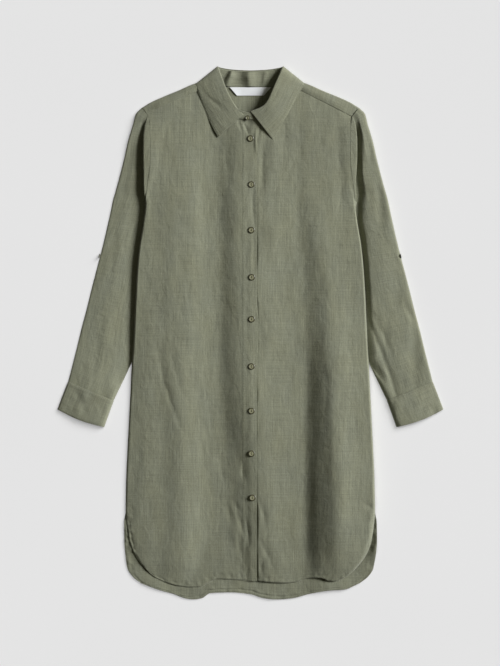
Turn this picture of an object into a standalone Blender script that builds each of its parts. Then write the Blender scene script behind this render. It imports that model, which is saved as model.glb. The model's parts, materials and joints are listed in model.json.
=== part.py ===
"""Long-sleeved linen shirt tunic, buttoned, lying flat on its back.

Every cloth piece is a wall of WALL millimetres round its own middle surface. The frame has
+X to the side, +Y from hem to collar and +Z up from the surface that the tunic lies on. The
origin is the middle of the tunic's box, at the surface. All tables are in millimetres.
"""
import math
from collections import namedtuple

import bmesh
import bpy
import numpy as np

MM = 0.001
WELD = 0.05

# Cloth
WALL = 1.2
GAP = 0.3
LAYER = WALL + GAP
FLOOR = WALL / 2

# Fronts and placket
CENTRE_EDGE = 13.2
UNDERLAP = 12.0
PLACKET_WIDTH = 27.3
NECK_CENTRE_Y = 391.5
FRONT_OUTER_STEPS = (0.0, 0.8, 3.0, 6.5, 12.0)
FRONT_INNER_STEPS = {"right": (PLACKET_WIDTH, PLACKET_WIDTH / 2, 0.0), "left": (26.0, 13.0, 0.0)}
FRONT_MIDDLE_COLUMNS = 9
UNDER_DROP = LAYER + GAP
UNDER_DROP_FROM = 30.0
UNDER_DROP_TO = 15.0
SHOULDER_ROLL = 24.0

# Back
BACK_YOKE_SEAM_Y = 345.0
BACK_YOKE_SEAM_HALF = 185.0
BACK_STEPS = (0.0, 12.0, 30.0, 46.0, 61.0, 80.0)
BACK_MIDDLE_COLUMNS = 6
RISE_OVER_SLEEVE = (44.0, 14.0)
RISE_AT_UNDERARM = (24.0, 2.0)
RISE_ENDS_Y = (-125.0, -75.0)

# Sleeves
SLEEVE_STACK = 2 * LAYER
SIDE_COVER = 4.5
UNDERARM_Y = 241.8

# Buttons
BUTTON_RADIUS = 5.6
BUTTON_HEIGHT = 2.6
BUTTON_RIM = 0.8
# Half section of a button: share of its radius, and share of its height.
BUTTON_PROFILE = ((0.8, 1.0), (1.0, 0.55), (0.72, 0.0), (0.0, 0.0))
DISH_SHARE = 0.62
BUTTON_STEPS = 14
SEAT_POINTS = 12
SEWN_SLACK = 2 * GAP
TAB_BUTTON_RADIUS = 5.0
NECK_BUTTON = (-5.0, 397.0, 20.6)
TAB_BUTTON_Y = 143.0
TAB_BUTTON_Z = 6.4
SLEEVE_SPLAY = math.radians(14.0)
TOP_BUTTON_Y = 361.4
BUTTON_SPACING = 83.5
BUTTON_CREEP = (0.0, -1.7, -2.8, -7.3, -2.1, -6.2, -5.5, -1.6, -0.3)
BUTTON_X = 1.9

SAGE = (0.205, 0.215, 0.143, 1.0)
IVORY = (0.80, 0.81, 0.83, 1.0)
HORN = (0.20, 0.185, 0.115, 1.0)
CLOTH_ROUGHNESS = 0.85
HORN_ROUGHNESS = 0.35

# Outer edge of the body, shoulder point to tail: half width, how far the front's edge lies
# over the back's, and how far in from it the front takes to reach its full height.
Side = namedtuple("Side", "y half lift roll")
ARMHOLE = (
    Side(418.0, 201.4, 8.4, 24),
    Side(401.5, 188.2, 9.6, 24),
    Side(379.0, 185.6, 11.2, 24),
    Side(352.0, 185.1, 11.6, 24),
    Side(325.0, 185.0, 11.4, 24),
    Side(300.0, 187.0, 10.6, 22),
    Side(277.0, 190.2, 8.6, 18),
    Side(256.0, 193.0, 5.2, 14),
    Side(UNDERARM_Y, 194.6, 1.7, 12),
)
SIDE_SEAM = (
    Side(222.0, 198.0, 1.6, 12),
    Side(196.0, 202.6, 1.6, 12),
    Side(163.7, 208.3, 1.6, 12),
    Side(120.0, 212.4, 1.6, 12),
    Side(72.0, 215.0, 1.6, 12),
    Side(20.0, 216.8, 1.6, 12),
    Side(-30.0, 218.6, 1.6, 12),
    Side(-62.0, 220.0, 1.6, 12),
    Side(-100.0, 222.0, 1.6, 12),
    Side(-160.0, 225.2, 1.6, 12),
    Side(-220.0, 228.2, 1.6, 12),
    Side(-275.0, 230.6, 1.6, 12),
    Side(-327.0, 231.4, 1.6, 12),
)
FRONT_TAIL = (
    Side(-350.0, 230.0, 2.8, 14),
    Side(-376.0, 226.4, 4.0, 18),
    Side(-400.0, 219.8, 5.4, 22),
    Side(-419.0, 208.8, 7.0, 26),
    Side(-435.0, 195.8, 8.4, 30),
)
BACK_TAIL = (
    Side(-352.0, 234.4, 0.0, 0),
    Side(-384.0, 234.2, 0.0, 0),
    Side(-415.0, 231.8, 0.0, 0),
    Side(-437.0, 228.4, 0.0, 0),
    Side(-452.0, 218.8, 0.0, 0),
    Side(-464.0, 203.5, 0.0, 0),
)

# Neckline and hems, each a run of points along a cut edge.
Point = namedtuple("Point", "x y")
NECKLINE = (
    Point(83.0, 455.0), Point(75.0, 438.0), Point(58.0, 414.0), Point(35.0, 399.0),
    Point(8.0, 392.0), Point(-CENTRE_EDGE, NECK_CENTRE_Y),
)
YOKE_SEAM_END = {"right": Point(193.6, 408.5), "left": Point(188.2, 401.5)}
HEM_RIGHT = (
    Point(-195.8, -435.0), Point(-175.0, -453.6), Point(-153.6, -463.1), Point(-132.0, -468.7),
    Point(-111.0, -471.1), Point(-94.0, -470.5), Point(-78.0, -463.5), Point(-62.0, -455.8),
    Point(-25.5, -457.9), Point(CENTRE_EDGE, -459.4),
)
HEM_LEFT = (
    Point(195.8, -435.0), Point(180.0, -446.0), Point(167.2, -453.0), Point(152.1, -457.9),
    Point(137.3, -452.5), Point(122.0, -450.0), Point(107.3, -451.6), Point(84.0, -461.3),
    Point(67.0, -463.1), Point(45.4, -462.2), Point(-UNDERLAP, -457.0),
)
BACK_HEM = (
    Point(-203.5, -464.0), Point(-174.8, -475.0), Point(-138.8, -485.6), Point(-123.7, -491.8),
    Point(-106.0, -494.4), Point(-89.7, -492.0), Point(-74.4, -482.5), Point(-37.0, -481.2),
    Point(0.0, -484.7), Point(24.2, -492.0), Point(50.0, -494.4), Point(77.4, -492.2),
    Point(109.7, -484.0), Point(147.9, -477.4), Point(173.5, -476.0), Point(203.5, -464.0),
)

# Height of the fronts' cloth over the surface, down the middle, and its flutes: each runs
# from its top to the hem, fading in over fade, and is a trough where its depth is positive.
Loft = namedtuple("Loft", "y height")
FRONT_LOFT = (
    Loft(460.0, 9.6), Loft(418.0, 11.5), Loft(380.0, 13.6), Loft(300.0, 15.5), Loft(200.0, 17.5),
    Loft(0.0, 18.5), Loft(-200.0, 19.0), Loft(-350.0, 18.0), Loft(-470.0, 15.5),
)
SIDE_DROP = 2.6
Flute = namedtuple("Flute", "name x_top y_top x_hem reach depth_top depth_hem fade")
FLUTES = (
    Flute("deep trough left of the placket", 108, 170, 121, 25, 2.5, 15.5, 90),
    Flute("its outer ridge", 168, 150, 167, 24, -0.5, -3.5, 90),
    Flute("its inner ridge", 68, 260, 78, 24, -1.0, -3.0, 80),
    Flute("trough right of the placket", -38, 200, -20, 26, 3.0, 7.0, 60),
    Flute("broad ridge on the right front", -97, 330, -100, 28, -2.0, -2.5, 60),
    Flute("shallow side trough", -158, 20, -152, 22, 2.5, 3.5, 60),
)
LOWEST_FRONT = 2.6

# Sleeve rings, shoulder to cuff seam. Each runs from its inner end to its outer fold, with
# the lip that folds back over it at the armhole, the height of that seam, the bottom of the
# crease beside it and the height of the top layer.
Ring = namedtuple("Ring", "inner_x inner_y outer_x outer_y lip seam_z deep loft")
SLEEVE_RINGS = (
    Ring(188.2, 401.5, 201.4, 418.0, 3.0, 9.6, 6.4, 8.4),
    Ring(186.8, 391.0, 212.3, 406.6, 8.0, 10.8, 5.6, 9.6),
    Ring(185.6, 379.0, 217.0, 388.6, 11.0, 11.8, 5.0, 10.4),
    Ring(185.1, 352.0, 226.4, 357.5, 13.0, 12.2, 4.8, 11.0),
    Ring(185.0, 325.0, 233.0, 328.5, 13.0, 12.0, 4.6, 11.6),
    Ring(187.0, 300.0, 239.6, 302.0, 10.4, 11.0, 4.2, 12.0),
    Ring(190.2, 277.0, 245.8, 278.5, 7.2, 9.0, 3.6, 12.0),
    Ring(193.0, 256.0, 251.6, 258.0, 3.6, 5.6, 2.6, 12.0),
    Ring(194.6, 241.8, 255.2, 245.5, 0.0, 2.1, 2.1, 12.0),
    Ring(186.0, 224.0, 258.2, 231.0, 0.0, 2.1, 2.1, 12.0),
    Ring(168.0, 190.0, 264.6, 202.0, 0.0, 2.1, 2.1, 12.2),
    Ring(158.0, 150.0, 272.7, 167.0, 0.0, 2.1, 2.1, 12.4),
    Ring(158.0, 105.0, 283.2, 126.0, 0.0, 2.1, 2.1, 12.4),
    Ring(167.0, 60.0, 294.2, 84.0, 0.0, 2.1, 2.1, 12.4),
    Ring(182.0, 18.0, 303.8, 45.0, 0.0, 2.1, 2.1, 12.2),
    Ring(201.0, -20.0, 313.6, 8.0, 0.0, 2.1, 2.1, 12.0),
    Ring(220.0, -54.0, 321.4, -24.0, 0.0, 2.1, 2.1, 11.0),
    Ring(238.0, -91.0, 329.6, -57.0, 0.0, 2.1, 2.1, 10.4),
    Ring(254.1, -124.2, 338.0, -89.7, 0.0, 2.1, 2.1, 9.8),
)
CUFF_RINGS = (
    Ring(254.2, -124.6, 338.2, -90.1, 0.0, 2.1, 2.1, 9.8),
    Ring(263.2, -149.2, 348.2, -115.6, 0.0, 2.1, 2.1, 9.6),
    Ring(272.0, -173.9, 358.0, -141.4, 0.0, 2.1, 2.1, 9.2),
)
CUFF_BULGE = 4.5
SEAM_STEP = 0.15
LIP_FOLD = 2.5
LIP_CREASE = 0.9
FULL_LIP = 4.0
CREASE_BEYOND_LIP = 2.0
WIDEST_CREASE = 0.55
PRESSED_STEPS = 4
OUTER_ROLL = 6.0
WIDEST_ROLL = 0.25
ROLL_ROUNDING = 0.72
RISE_LENGTH = 26.0
# Rise from the inner end where the sleeve lies free of the body: distance, and share of height.
INNER_ROLL = ((0.0, 0.0), (0.5, 0.28), (2.2, 0.58), (5.5, 0.82), (11.0, 0.94))
TOP_SHARES = (0.22, 0.48, 0.75, 1.0)
UNDER_SHARES = (0.6, 0.3)

# Shoulder fold of the yoke, armhole to side neck point, with the height of its two layers.
Fold = namedtuple("Fold", "x y top_z base_z")
SHOULDER_FOLD = (
    Fold(201.4, 418.0, 8.6, 0.6), Fold(184.1, 428.6, 8.8, 0.6), Fold(158.0, 440.2, 9.2, 0.6),
    Fold(132.0, 450.8, 9.6, 0.6), Fold(112.0, 457.2, 9.8, 1.4), Fold(97.0, 460.6, 10.2, 2.8),
    Fold(80.0, 466.0, 10.2, 2.6),
)
NECK_BASE = 2.3
YOKE_SLOPE = 45.0
YOKE_SEAM_HALF = 190.0
STRIP_ROWS = 3
TURN_ROWS = 4
TURN_SQUASH = 0.6
ARMHOLE_GAP = (0.78 * GAP / 2, 0.62 * GAP / 2)
BACK_NECK = (Point(80.0, 466.0), Point(64.0, 460.5), Point(40.0, 457.8), Point(0.0, 457.6))
NECK_LIFT_Y = 428.0

# Collar stand and turned-down leaf: sections of their right and left front parts, from the
# front corner to the side of the neck, and of the half back, from there to its middle. x is
# outward on the section's own side. Low is the neck seam or the leaf's outer edge, and high
# is the roll line.
Section = namedtuple("Section", "low_x low_y low_z high_x high_y high_z")
STAND_RIGHT = (
    Section(-9.0, 393.6, 17.4, -3.5, 404.0, 21.5),
    Section(3.0, 393.6, 17.0, 5.0, 408.5, 22.6),
    Section(18.0, 395.6, 16.0, 17.5, 411.6, 23.6),
    Section(36.0, 400.6, 15.0, 28.0, 418.5, 24.6),
    Section(57.0, 415.0, 14.0, 37.0, 432.0, 24.0),
    Section(73.0, 438.0, 13.0, 45.0, 449.5, 21.0),
    Section(79.5, 455.0, 12.2, 51.0, 468.0, 16.5),
    Section(79.0, 464.0, 10.0, 56.0, 482.0, 12.0),
)
STAND_LEFT = (
    Section(-10.0, 393.6, 14.4, -8.0, 403.5, 18.8),
    Section(2.0, 393.6, 14.6, 0.0, 406.5, 19.6),
    Section(18.0, 395.6, 15.0, 12.0, 411.5, 20.6),
    Section(36.0, 400.6, 15.0, 25.0, 419.5, 25.0),
    Section(57.0, 415.0, 14.0, 34.0, 431.0, 25.6),
    Section(73.0, 438.0, 13.0, 40.5, 446.5, 24.0),
    Section(79.5, 455.0, 12.2, 48.4, 465.0, 19.5),
    Section(79.0, 464.0, 10.0, 53.0, 480.0, 13.5),
)
STAND_BACK = (
    Section(76.4, 466.0, 6.0, 57.8, 489.6, 8.0),
    Section(72.0, 465.0, 3.0, 53.0, 488.6, 5.0),
    Section(60.0, 460.6, 2.3, 44.0, 487.4, 4.0),
    Section(38.0, 458.4, 2.3, 30.0, 486.2, 3.6),
    Section(12.0, 458.2, 2.3, 10.0, 485.4, 3.4),
)
LEAF_RIGHT = (
    Section(59.4, 363.6, 17.2, 13.4, 403.2, 25.0),
    Section(67.0, 377.0, 17.0, 20.5, 410.5, 26.0),
    Section(76.0, 395.0, 17.0, 27.9, 418.8, 27.0),
    Section(85.5, 417.0, 16.4, 36.6, 433.0, 27.0),
    Section(94.0, 440.0, 15.4, 45.4, 451.0, 24.0),
    Section(99.6, 455.0, 13.6, 52.4, 470.0, 19.4),
    Section(101.6, 461.4, 10.8, 58.4, 485.6, 14.4),
)
LEAF_LEFT = (
    Section(42.5, 357.6, 17.2, 1.6, 409.6, 24.0),
    Section(58.0, 386.0, 17.0, 22.8, 418.6, 27.6),
    Section(73.0, 413.0, 16.4, 33.2, 430.0, 28.6),
    Section(85.6, 437.0, 15.6, 40.6, 446.0, 27.2),
    Section(96.0, 455.0, 13.8, 49.0, 465.6, 22.8),
    Section(101.0, 461.4, 10.8, 56.8, 482.4, 16.0),
)
LEAF_BACK = (
    Section(103.2, 464.8, 6.0, 61.2, 494.4, 8.0),
    Section(101.8, 463.4, 1.0, 60.6, 494.9, 2.6),
    Section(94.0, 456.0, 0.6, 52.0, 492.6, 0.8),
    Section(74.0, 444.0, 0.6, 38.0, 490.2, 0.8),
    Section(40.0, 438.6, 0.6, 18.0, 488.6, 0.8),
    Section(0.0, 437.2, 0.6, 0.0, 488.0, 0.8),
)
LEAF_ARCH = 2.2
RAISED_Z = 9.0
STAND_STEPS = 2
LEAF_STEPS = 3

LABEL_TOP_Y = 456.8
LABEL_BOTTOM_Y = 441.4
LABEL_TOP_HALF = 38.4
LABEL_BOTTOM_HALF = 25.0


def smooth(keys, values, at):
    """Read a smooth curve through the values, with no overshoot between them."""
    keys = np.asarray(keys, float)
    values = np.asarray(values, float)
    at = np.clip(np.asarray(at, float), keys.min(), keys.max())
    if keys[0] > keys[-1]:
        keys, values = keys[::-1], values[::-1]
    step = np.diff(keys)
    slope = np.diff(values) / step
    lean = np.zeros_like(values)
    lean[0], lean[-1] = slope[0], slope[-1]
    for i in range(1, len(values) - 1):
        if slope[i - 1] * slope[i] > 0:
            lean[i] = 2 * slope[i - 1] * slope[i] / (slope[i - 1] + slope[i])
    cell = np.clip(np.searchsorted(keys, at, side="right") - 1, 0, len(step) - 1)
    t = (at - keys[cell]) / step[cell]
    start = values[cell] * (1 + 2 * t) * (1 - t) ** 2 + lean[cell] * step[cell] * t * (1 - t) ** 2
    end = values[cell + 1] * t * t * (3 - 2 * t) + lean[cell + 1] * step[cell] * t * t * (t - 1)
    return start + end


def ease(low, high, value):
    """Rise smoothly from 0 at low to 1 at high."""
    t = np.clip((value - low) / (high - low), 0.0, 1.0)
    return t * t * (3 - 2 * t)


def table(rows, column, at):
    """Read one column of a table against the y of its rows."""
    return smooth([row.y for row in rows], [getattr(row, column) for row in rows], at)


def run(points, t):
    """Point at t, from 0 to 1, across a cut edge from its first x to its last."""
    points = np.array(points, float)
    x = points[0, 0] + (points[-1, 0] - points[0, 0]) * t
    order = np.argsort(points[:, 0])
    return np.array([x, np.interp(x, points[order, 0], points[order, 1])])


def front_height(x, y):
    """Height of the middle of the fronts' cloth over the surface."""
    height = table(FRONT_LOFT, "height", y) - SIDE_DROP * (x / 200.0) ** 2
    for flute in FLUTES:
        along = np.clip((flute.y_top - y) / (flute.y_top + 460.0), 0.0, 1.0)
        middle = flute.x_top + (flute.x_hem - flute.x_top) * along
        depth = flute.depth_top + (flute.depth_hem - flute.depth_top) * along
        depth = depth * ease(flute.y_top + flute.fade, flute.y_top - flute.fade, y)
        height = height - depth * np.exp(-((x - middle) / flute.reach) ** 2)
    return np.maximum(height, LOWEST_FRONT)


def inner_fold(y):
    """How far out the sleeve's inner fold lies, under the body's side."""
    rows = [row for row in SLEEVE_RINGS if row.inner_y <= UNDERARM_Y]
    return smooth([row.inner_y for row in rows], [row.inner_x for row in rows], y)


def back_height(x, y):
    """Height of the middle of the back's cloth: flat, but over the sleeves' inner parts."""
    fold = inner_fold(y)
    over = ease(fold - RISE_OVER_SLEEVE[0], fold - RISE_OVER_SLEEVE[1], abs(x))
    above = ease(UNDERARM_Y + RISE_AT_UNDERARM[0], UNDERARM_Y + RISE_AT_UNDERARM[1], y)
    return FLOOR + SLEEVE_STACK * over * above * ease(*RISE_ENDS_Y, y)


def spaced(width, outer, inner, count):
    """Fractions across a row: fixed steps from its outer and inner ends, even between."""
    middle = np.linspace(outer[-1], width - inner[0], count + 2)[1:-1]
    return np.concatenate([outer, middle, width - np.array(inner)]) / width


def fill(top, bottom, outer, inner, rows, columns):
    """Points of a patch between four edges, each a function of 0 to 1, on rows and columns."""
    grid = np.zeros((len(rows), len(columns(0)), 2))
    for i, v in enumerate(rows):
        for j, u in enumerate(columns(i)):
            edges = (1 - v) * top(u) + v * bottom(u) + (1 - u) * outer(v) + u * inner(v)
            start = (1 - v) * top(0.0) + v * bottom(0.0)
            end = (1 - v) * top(1.0) + v * bottom(1.0)
            grid[i, j] = edges - (1 - u) * start - u * end
    return grid


def material(name, colour, roughness):
    """Plain Principled material."""
    made = bpy.data.materials.new(name)
    made.use_nodes = True
    shader = made.node_tree.nodes["Principled BSDF"]
    shader.inputs["Base Color"].default_value = colour
    shader.inputs["Roughness"].default_value = roughness
    shader.inputs["Metallic"].default_value = 0.0
    return made


def place(name, bm, collection, finish):
    """Make an object of a bmesh, in the tunic's collection, with a finish of its own."""
    mesh = bpy.data.meshes.new(name)
    bm.to_mesh(mesh)
    bm.free()
    made = bpy.data.objects.new(name, mesh)
    made.data.materials.append(material(name, *finish))
    collection.objects.link(made)
    return made


def add_sheet(bm, grid):
    """Add an open surface over rows of points, in millimetres, and give its vertices."""
    rows, columns = grid.shape[:2]
    made = bmesh.ops.create_grid(bm, x_segments=columns - 1, y_segments=rows - 1, size=1.0)
    for i, vertex in enumerate(made["verts"]):
        vertex.co = [float(c) * MM for c in grid[i // columns, i % columns]]


def cloth(name, grids, collection, colour=SAGE, wall=WALL):
    """A cloth piece: open surfaces welded where they meet, with the wall's thickness."""
    bm = bmesh.new()
    for grid in grids:
        add_sheet(bm, np.asarray(grid, float))
    bmesh.ops.remove_doubles(bm, verts=bm.verts, dist=WELD * MM)
    bmesh.ops.recalc_face_normals(bm, faces=bm.faces)
    made = place(name, bm, collection, (colour, CLOTH_ROUGHNESS))
    thickness = made.modifiers.new("wall", "SOLIDIFY")
    thickness.thickness = wall * MM
    thickness.offset = 0.0
    thickness.use_quality_normals = True
    return made


def front_rows(side):
    """The front's outer edge: its rows from the yoke seam to the round of the tail."""
    end = YOKE_SEAM_END[side]
    first = Side(end.y - GAP, end.x, float(table(ARMHOLE, "lift", end.y)), SHOULDER_ROLL)
    return [first] + [row for row in ARMHOLE if row.y < end.y - 1.0] + list(SIDE_SEAM + FRONT_TAIL)


def front_grid(side):
    """Plan of a front panel with x outward, and each point's distance in from its edge."""
    rows = front_rows(side)
    edge = np.array([(row.half - GAP / 2, row.y) for row in rows])
    length = np.concatenate([[0.0], np.cumsum(np.hypot(*np.diff(edge, axis=0).T))])
    vs = length / length[-1]
    centre = -CENTRE_EDGE if side == "right" else -UNDERLAP
    hem = HEM_RIGHT if side == "right" else HEM_LEFT
    hem = [Point(abs(p.x) if p is not hem[-1] else centre, p.y) for p in hem]
    seam = [YOKE_SEAM_END[side]] + list(NECKLINE[:-1]) + [Point(centre, NECK_CENTRE_Y)]
    seam = [Point(p.x, p.y - GAP) for p in seam]

    def columns(i):
        width = edge[i, 0] - centre
        return spaced(width, FRONT_OUTER_STEPS, FRONT_INNER_STEPS[side], FRONT_MIDDLE_COLUMNS)

    def outer(v):
        return np.array([np.interp(v, vs, edge[:, 0]), np.interp(v, vs, edge[:, 1])])

    def inner(v):
        y = NECK_CENTRE_Y - GAP + (hem[-1].y - NECK_CENTRE_Y + GAP) * v
        return np.array([centre, y])

    plan = fill(lambda u: run(seam, u), lambda u: run(hem, u), outer, inner, vs, columns)
    inset = np.array([columns(i) * (edge[i, 0] - centre) for i in range(len(rows))])
    return plan, inset, rows


def front_panel(side):
    """Points of a front panel, with its edge rolled down to the side seam."""
    plan, inset, rows = front_grid(side)
    sign = -1.0 if side == "right" else 1.0
    x, y = sign * plan[..., 0], plan[..., 1]
    height = front_height(x, y)
    if side == "left":
        height = height - UNDER_DROP * ease(UNDER_DROP_FROM, UNDER_DROP_TO, x)
    for i, row in enumerate(rows):
        near = np.clip(inset[i] / row.roll, 0.0, 1.0)
        rolled = np.sqrt(1 - (1 - near) ** 2) if row.y < UNDERARM_Y else ease(0.0, 1.0, near)
        seam = back_height(row.half, row.y) + row.lift
        height[i] = seam + (height[i] - seam) * rolled
    return np.stack([x, y, height], axis=-1)


def placket_band(front):
    """The band on the lapping front, made from that panel's own points, moved out."""
    band = front[:, -3:].copy()
    band[..., 2] += LAYER
    return band


def back_panel():
    """Points of the back, from the yoke seam to the long curved hem."""
    top = Side(BACK_YOKE_SEAM_Y - GAP, BACK_YOKE_SEAM_HALF, 0.0, 0)
    rows = [top] + [row for row in ARMHOLE if row.y < top.y] + list(SIDE_SEAM + BACK_TAIL)
    edge = np.array([(row.half - GAP / 2, row.y) for row in rows])
    length = np.concatenate([[0.0], np.cumsum(np.hypot(*np.diff(edge, axis=0).T))])
    vs = length / length[-1]

    def columns(i):
        return spaced(2 * edge[i, 0], BACK_STEPS, BACK_STEPS[::-1], BACK_MIDDLE_COLUMNS)

    def outer(v, sign):
        return np.array([sign * np.interp(v, vs, edge[:, 0]), np.interp(v, vs, edge[:, 1])])

    top_half = BACK_YOKE_SEAM_HALF - GAP / 2
    top_edge = [Point(-top_half, top.y), Point(top_half, top.y)]
    plan = fill(lambda u: run(top_edge, u), lambda u: run(BACK_HEM, u),
                lambda v: outer(v, -1.0), lambda v: outer(v, 1.0), vs, columns)
    height = back_height(plan[..., 0], plan[..., 1])
    return np.concatenate([plan, height[..., None]], axis=-1)


def yoke_sheets():
    """Back of the yoke, and the strip on each side that folds over the shoulder to the front."""
    fold = np.array([(f.x, f.y) for f in SHOULDER_FOLD])
    neck = np.array([(p.x, p.y) for p in BACK_NECK[1:]])
    half = np.concatenate([fold, neck])
    base = np.array([f.base_z for f in SHOULDER_FOLD] + [NECK_BASE] * len(neck))
    across = np.concatenate([-half[:, 0], half[-2::-1, 0]])
    top_y = np.concatenate([half[:, 1], half[-2::-1, 1]])
    base = np.concatenate([base, base[-2::-1]])
    armhole = [(row.y, row.half) for row in ARMHOLE if row.y > BACK_YOKE_SEAM_Y]
    armhole.append((BACK_YOKE_SEAM_Y, BACK_YOKE_SEAM_HALF))
    sheets = []
    back = np.zeros((len(armhole), len(across), 3))
    for i, (y, side) in enumerate(armhole):
        down = (armhole[0][0] - y) / (armhole[0][0] - BACK_YOKE_SEAM_Y)
        back[i, :, 0] = across * (1 - down) + across / across[-1] * side * down
        back[i, 0, 0], back[i, -1, 0] = -side + GAP / 2, side - GAP / 2
        back[i, :, 1] = top_y * (1 - down) + BACK_YOKE_SEAM_Y * down
        back[i, 0, 1] = back[i, -1, 1] = y
        low = ease(NECK_LIFT_Y, BACK_YOKE_SEAM_Y + YOKE_SLOPE, back[i, :, 1])
        back[i, :, 2] = base + (FLOOR - base) * low
    sheets.append(back)
    for side, sign in (("right", -1.0), ("left", 1.0)):
        strip = np.array([fold_row(crease, YOKE_SEAM_END[side], sign) for crease in SHOULDER_FOLD])
        back_row = back[0] if sign < 0 else back[0, ::-1]
        strip[:, -1] = back_row[:len(fold)]
        sheets.append(strip)
    return sheets


def fold_row(crease, seam_end, sign):
    """Points of the yoke from its front seam, over the shoulder's fold, to its back half."""
    first, last = SHOULDER_FOLD[0], SHOULDER_FOLD[-1]
    share = (crease.x - last.x) / (first.x - last.x)
    seam = np.array(NECKLINE[0]) * (1 - share) + np.array(seam_end) * share
    top = np.array([crease.x, crease.y])
    inward = (seam - top) / np.hypot(*(seam - top))
    radius = (crease.top_z - crease.base_z) / 2
    seam_z = front_seam_height(*seam)
    shift = np.array([-ARMHOLE_GAP[0], ARMHOLE_GAP[1]]) if crease is first else np.zeros(2)
    row = []
    for i in range(STRIP_ROWS):
        plan = seam + (top + inward * TURN_SQUASH * radius - seam) * i / STRIP_ROWS
        row.append((plan + shift, seam_z + (crease.top_z - seam_z) * i / STRIP_ROWS))
    for turn in np.linspace(math.pi / 2, -math.pi / 2, TURN_ROWS + 1):
        plan = top + inward * TURN_SQUASH * radius * (1 - math.cos(turn))
        row.append((plan + shift, crease.base_z + radius * (1 + math.sin(turn))))
    return [(sign * plan[0], plan[1], z) for plan, z in row]


def front_seam_height(x, y):
    """Height of the fronts' cloth at the yoke seam, from the armhole to the neck."""
    edge = FLOOR + table(ARMHOLE, "lift", y)
    near = ease(0.0, SHOULDER_ROLL, YOKE_SEAM_HALF - x)
    return edge + (front_height(x, y) - edge) * near


def ring_points(ring):
    """One ring of a sleeve or cuff: pairs of distance from its inner end, and height."""
    width = math.hypot(ring.outer_x - ring.inner_x, ring.outer_y - ring.inner_y)
    cover = float(table(SIDE_SEAM, "half", ring.inner_y)) + SIDE_COVER - ring.inner_x
    if ring.lip:
        full = min(1.0, ring.lip / FULL_LIP)
        crease = min(ring.lip + CREASE_BEYOND_LIP, width * WIDEST_CREASE)
        start = [(SEAM_STEP, ring.seam_z), (ring.lip, ring.seam_z - SEAM_STEP),
                 (ring.lip - SEAM_STEP, ring.seam_z - LIP_FOLD * full),
                 (0.4 * ring.lip, ring.seam_z - (LIP_FOLD + LIP_CREASE) * full),
                 (crease, ring.deep)]
    elif cover > 0.0:
        start = [(SEAM_STEP + cover * k / PRESSED_STEPS, ring.seam_z)
                 for k in range(PRESSED_STEPS + 1)]
    else:
        reach = ring.loft - ring.seam_z
        start = [(distance, ring.seam_z + share * reach) for distance, share in INNER_ROLL]
    roll = min(OUTER_ROLL, WIDEST_ROLL * width)
    span = width - roll - start[-1][0]
    top = []
    for share in TOP_SHARES:
        rise = float(ease(0.0, min(RISE_LENGTH, span), share * span))
        height = start[-1][1] + (ring.loft - start[-1][1]) * rise
        top.append((start[-1][0] + share * span, height))
    middle = (ring.loft + FLOOR) / 2
    round_z = ROLL_ROUNDING * (ring.loft - middle)
    shoulder = width - (1 - ROLL_ROUNDING) * roll
    fold = [(shoulder, middle + round_z), (width, middle), (shoulder, middle - round_z),
            (width - roll, FLOOR)]
    under = [(width * share, FLOOR) for share in UNDER_SHARES]
    return start + top + fold + under + [(SEAM_STEP, FLOOR)]


def tube(rings, sign, bulge=0.0):
    """Rows of points round a sleeve or cuff, one for each ring, its last ones bowed out."""
    grid = []
    for i, ring in enumerate(rings):
        width = math.hypot(ring.outer_x - ring.inner_x, ring.outer_y - ring.inner_y)
        across = np.array([ring.outer_x - ring.inner_x, ring.outer_y - ring.inner_y]) / width
        along = np.array([across[1], -across[0]])
        row = []
        for distance, height in ring_points(ring):
            push = bulge * i / (len(rings) - 1) * math.sin(math.pi * distance / width)
            x, y = np.array([ring.inner_x, ring.inner_y]) + across * distance + along * push
            row.append((sign * (x + GAP / 2 * (ring.lip > 0)), y, height))
        grid.append(row)
    return np.array(grid)


def band(right, back, left, arch, steps):
    """Rows of points between the two edges of a band that runs round the neck."""
    round_neck = [(-1.0, section) for section in right + back]
    round_neck += [(1.0, section) for section in (left + back)[::-1] if section.low_x != 0.0]
    grid = []
    for side, section in round_neck:
        low = np.array([side * section.low_x, section.low_y, section.low_z])
        high = np.array([side * section.high_x, section.high_y, section.high_z])
        bow = np.array([0.0, 0.0, arch if section.high_z > RAISED_Z else 0.0])
        shares = [k / steps for k in range(steps + 1)]
        grid.append([low + (high - low) * t + 4 * bow * t * (1 - t) for t in shares])
    return np.array(grid)


def label_sheet():
    """The bare neck label, on the inside of the yoke under the stand."""
    rows = ((LABEL_TOP_Y, LABEL_TOP_HALF), (LABEL_BOTTOM_Y, LABEL_BOTTOM_HALF))
    height = NECK_BASE + LAYER
    return np.array([[(x * half, y, height) for x in (-1.0, 0.0, 1.0)] for y, half in rows])


def turned_button(name, collection, radius):
    """A button turned from its half section: domed rim, dished face and flat back."""
    face = BUTTON_HEIGHT - BUTTON_RIM
    profile = [(0.0, face), (DISH_SHARE * radius, face)]
    profile += [(r * radius, z * BUTTON_HEIGHT) for r, z in BUTTON_PROFILE]
    bm = bmesh.new()
    points = [bm.verts.new((r * MM, 0.0, z * MM)) for r, z in profile]
    for first, second in zip(points, points[1:]):
        bm.edges.new((first, second))
    made = place(name, bm, collection, (HORN, HORN_ROUGHNESS))
    screw = made.modifiers.new("turn", "SCREW")
    screw.steps = screw.render_steps = BUTTON_STEPS
    screw.use_merge_vertices = True
    screw.merge_threshold = WELD * MM
    screw.use_normal_calculate = True
    return made


def seat_on(height_at, x, y, radius):
    """Lowest place for a button's flat back over the cloth under it."""
    rim = [(x + radius * math.cos(a), y + radius * math.sin(a))
           for a in np.linspace(0, 2 * math.pi, SEAT_POINTS)]
    return max(float(height_at(px, py)) for px, py in rim + [(x, y)])


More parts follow.
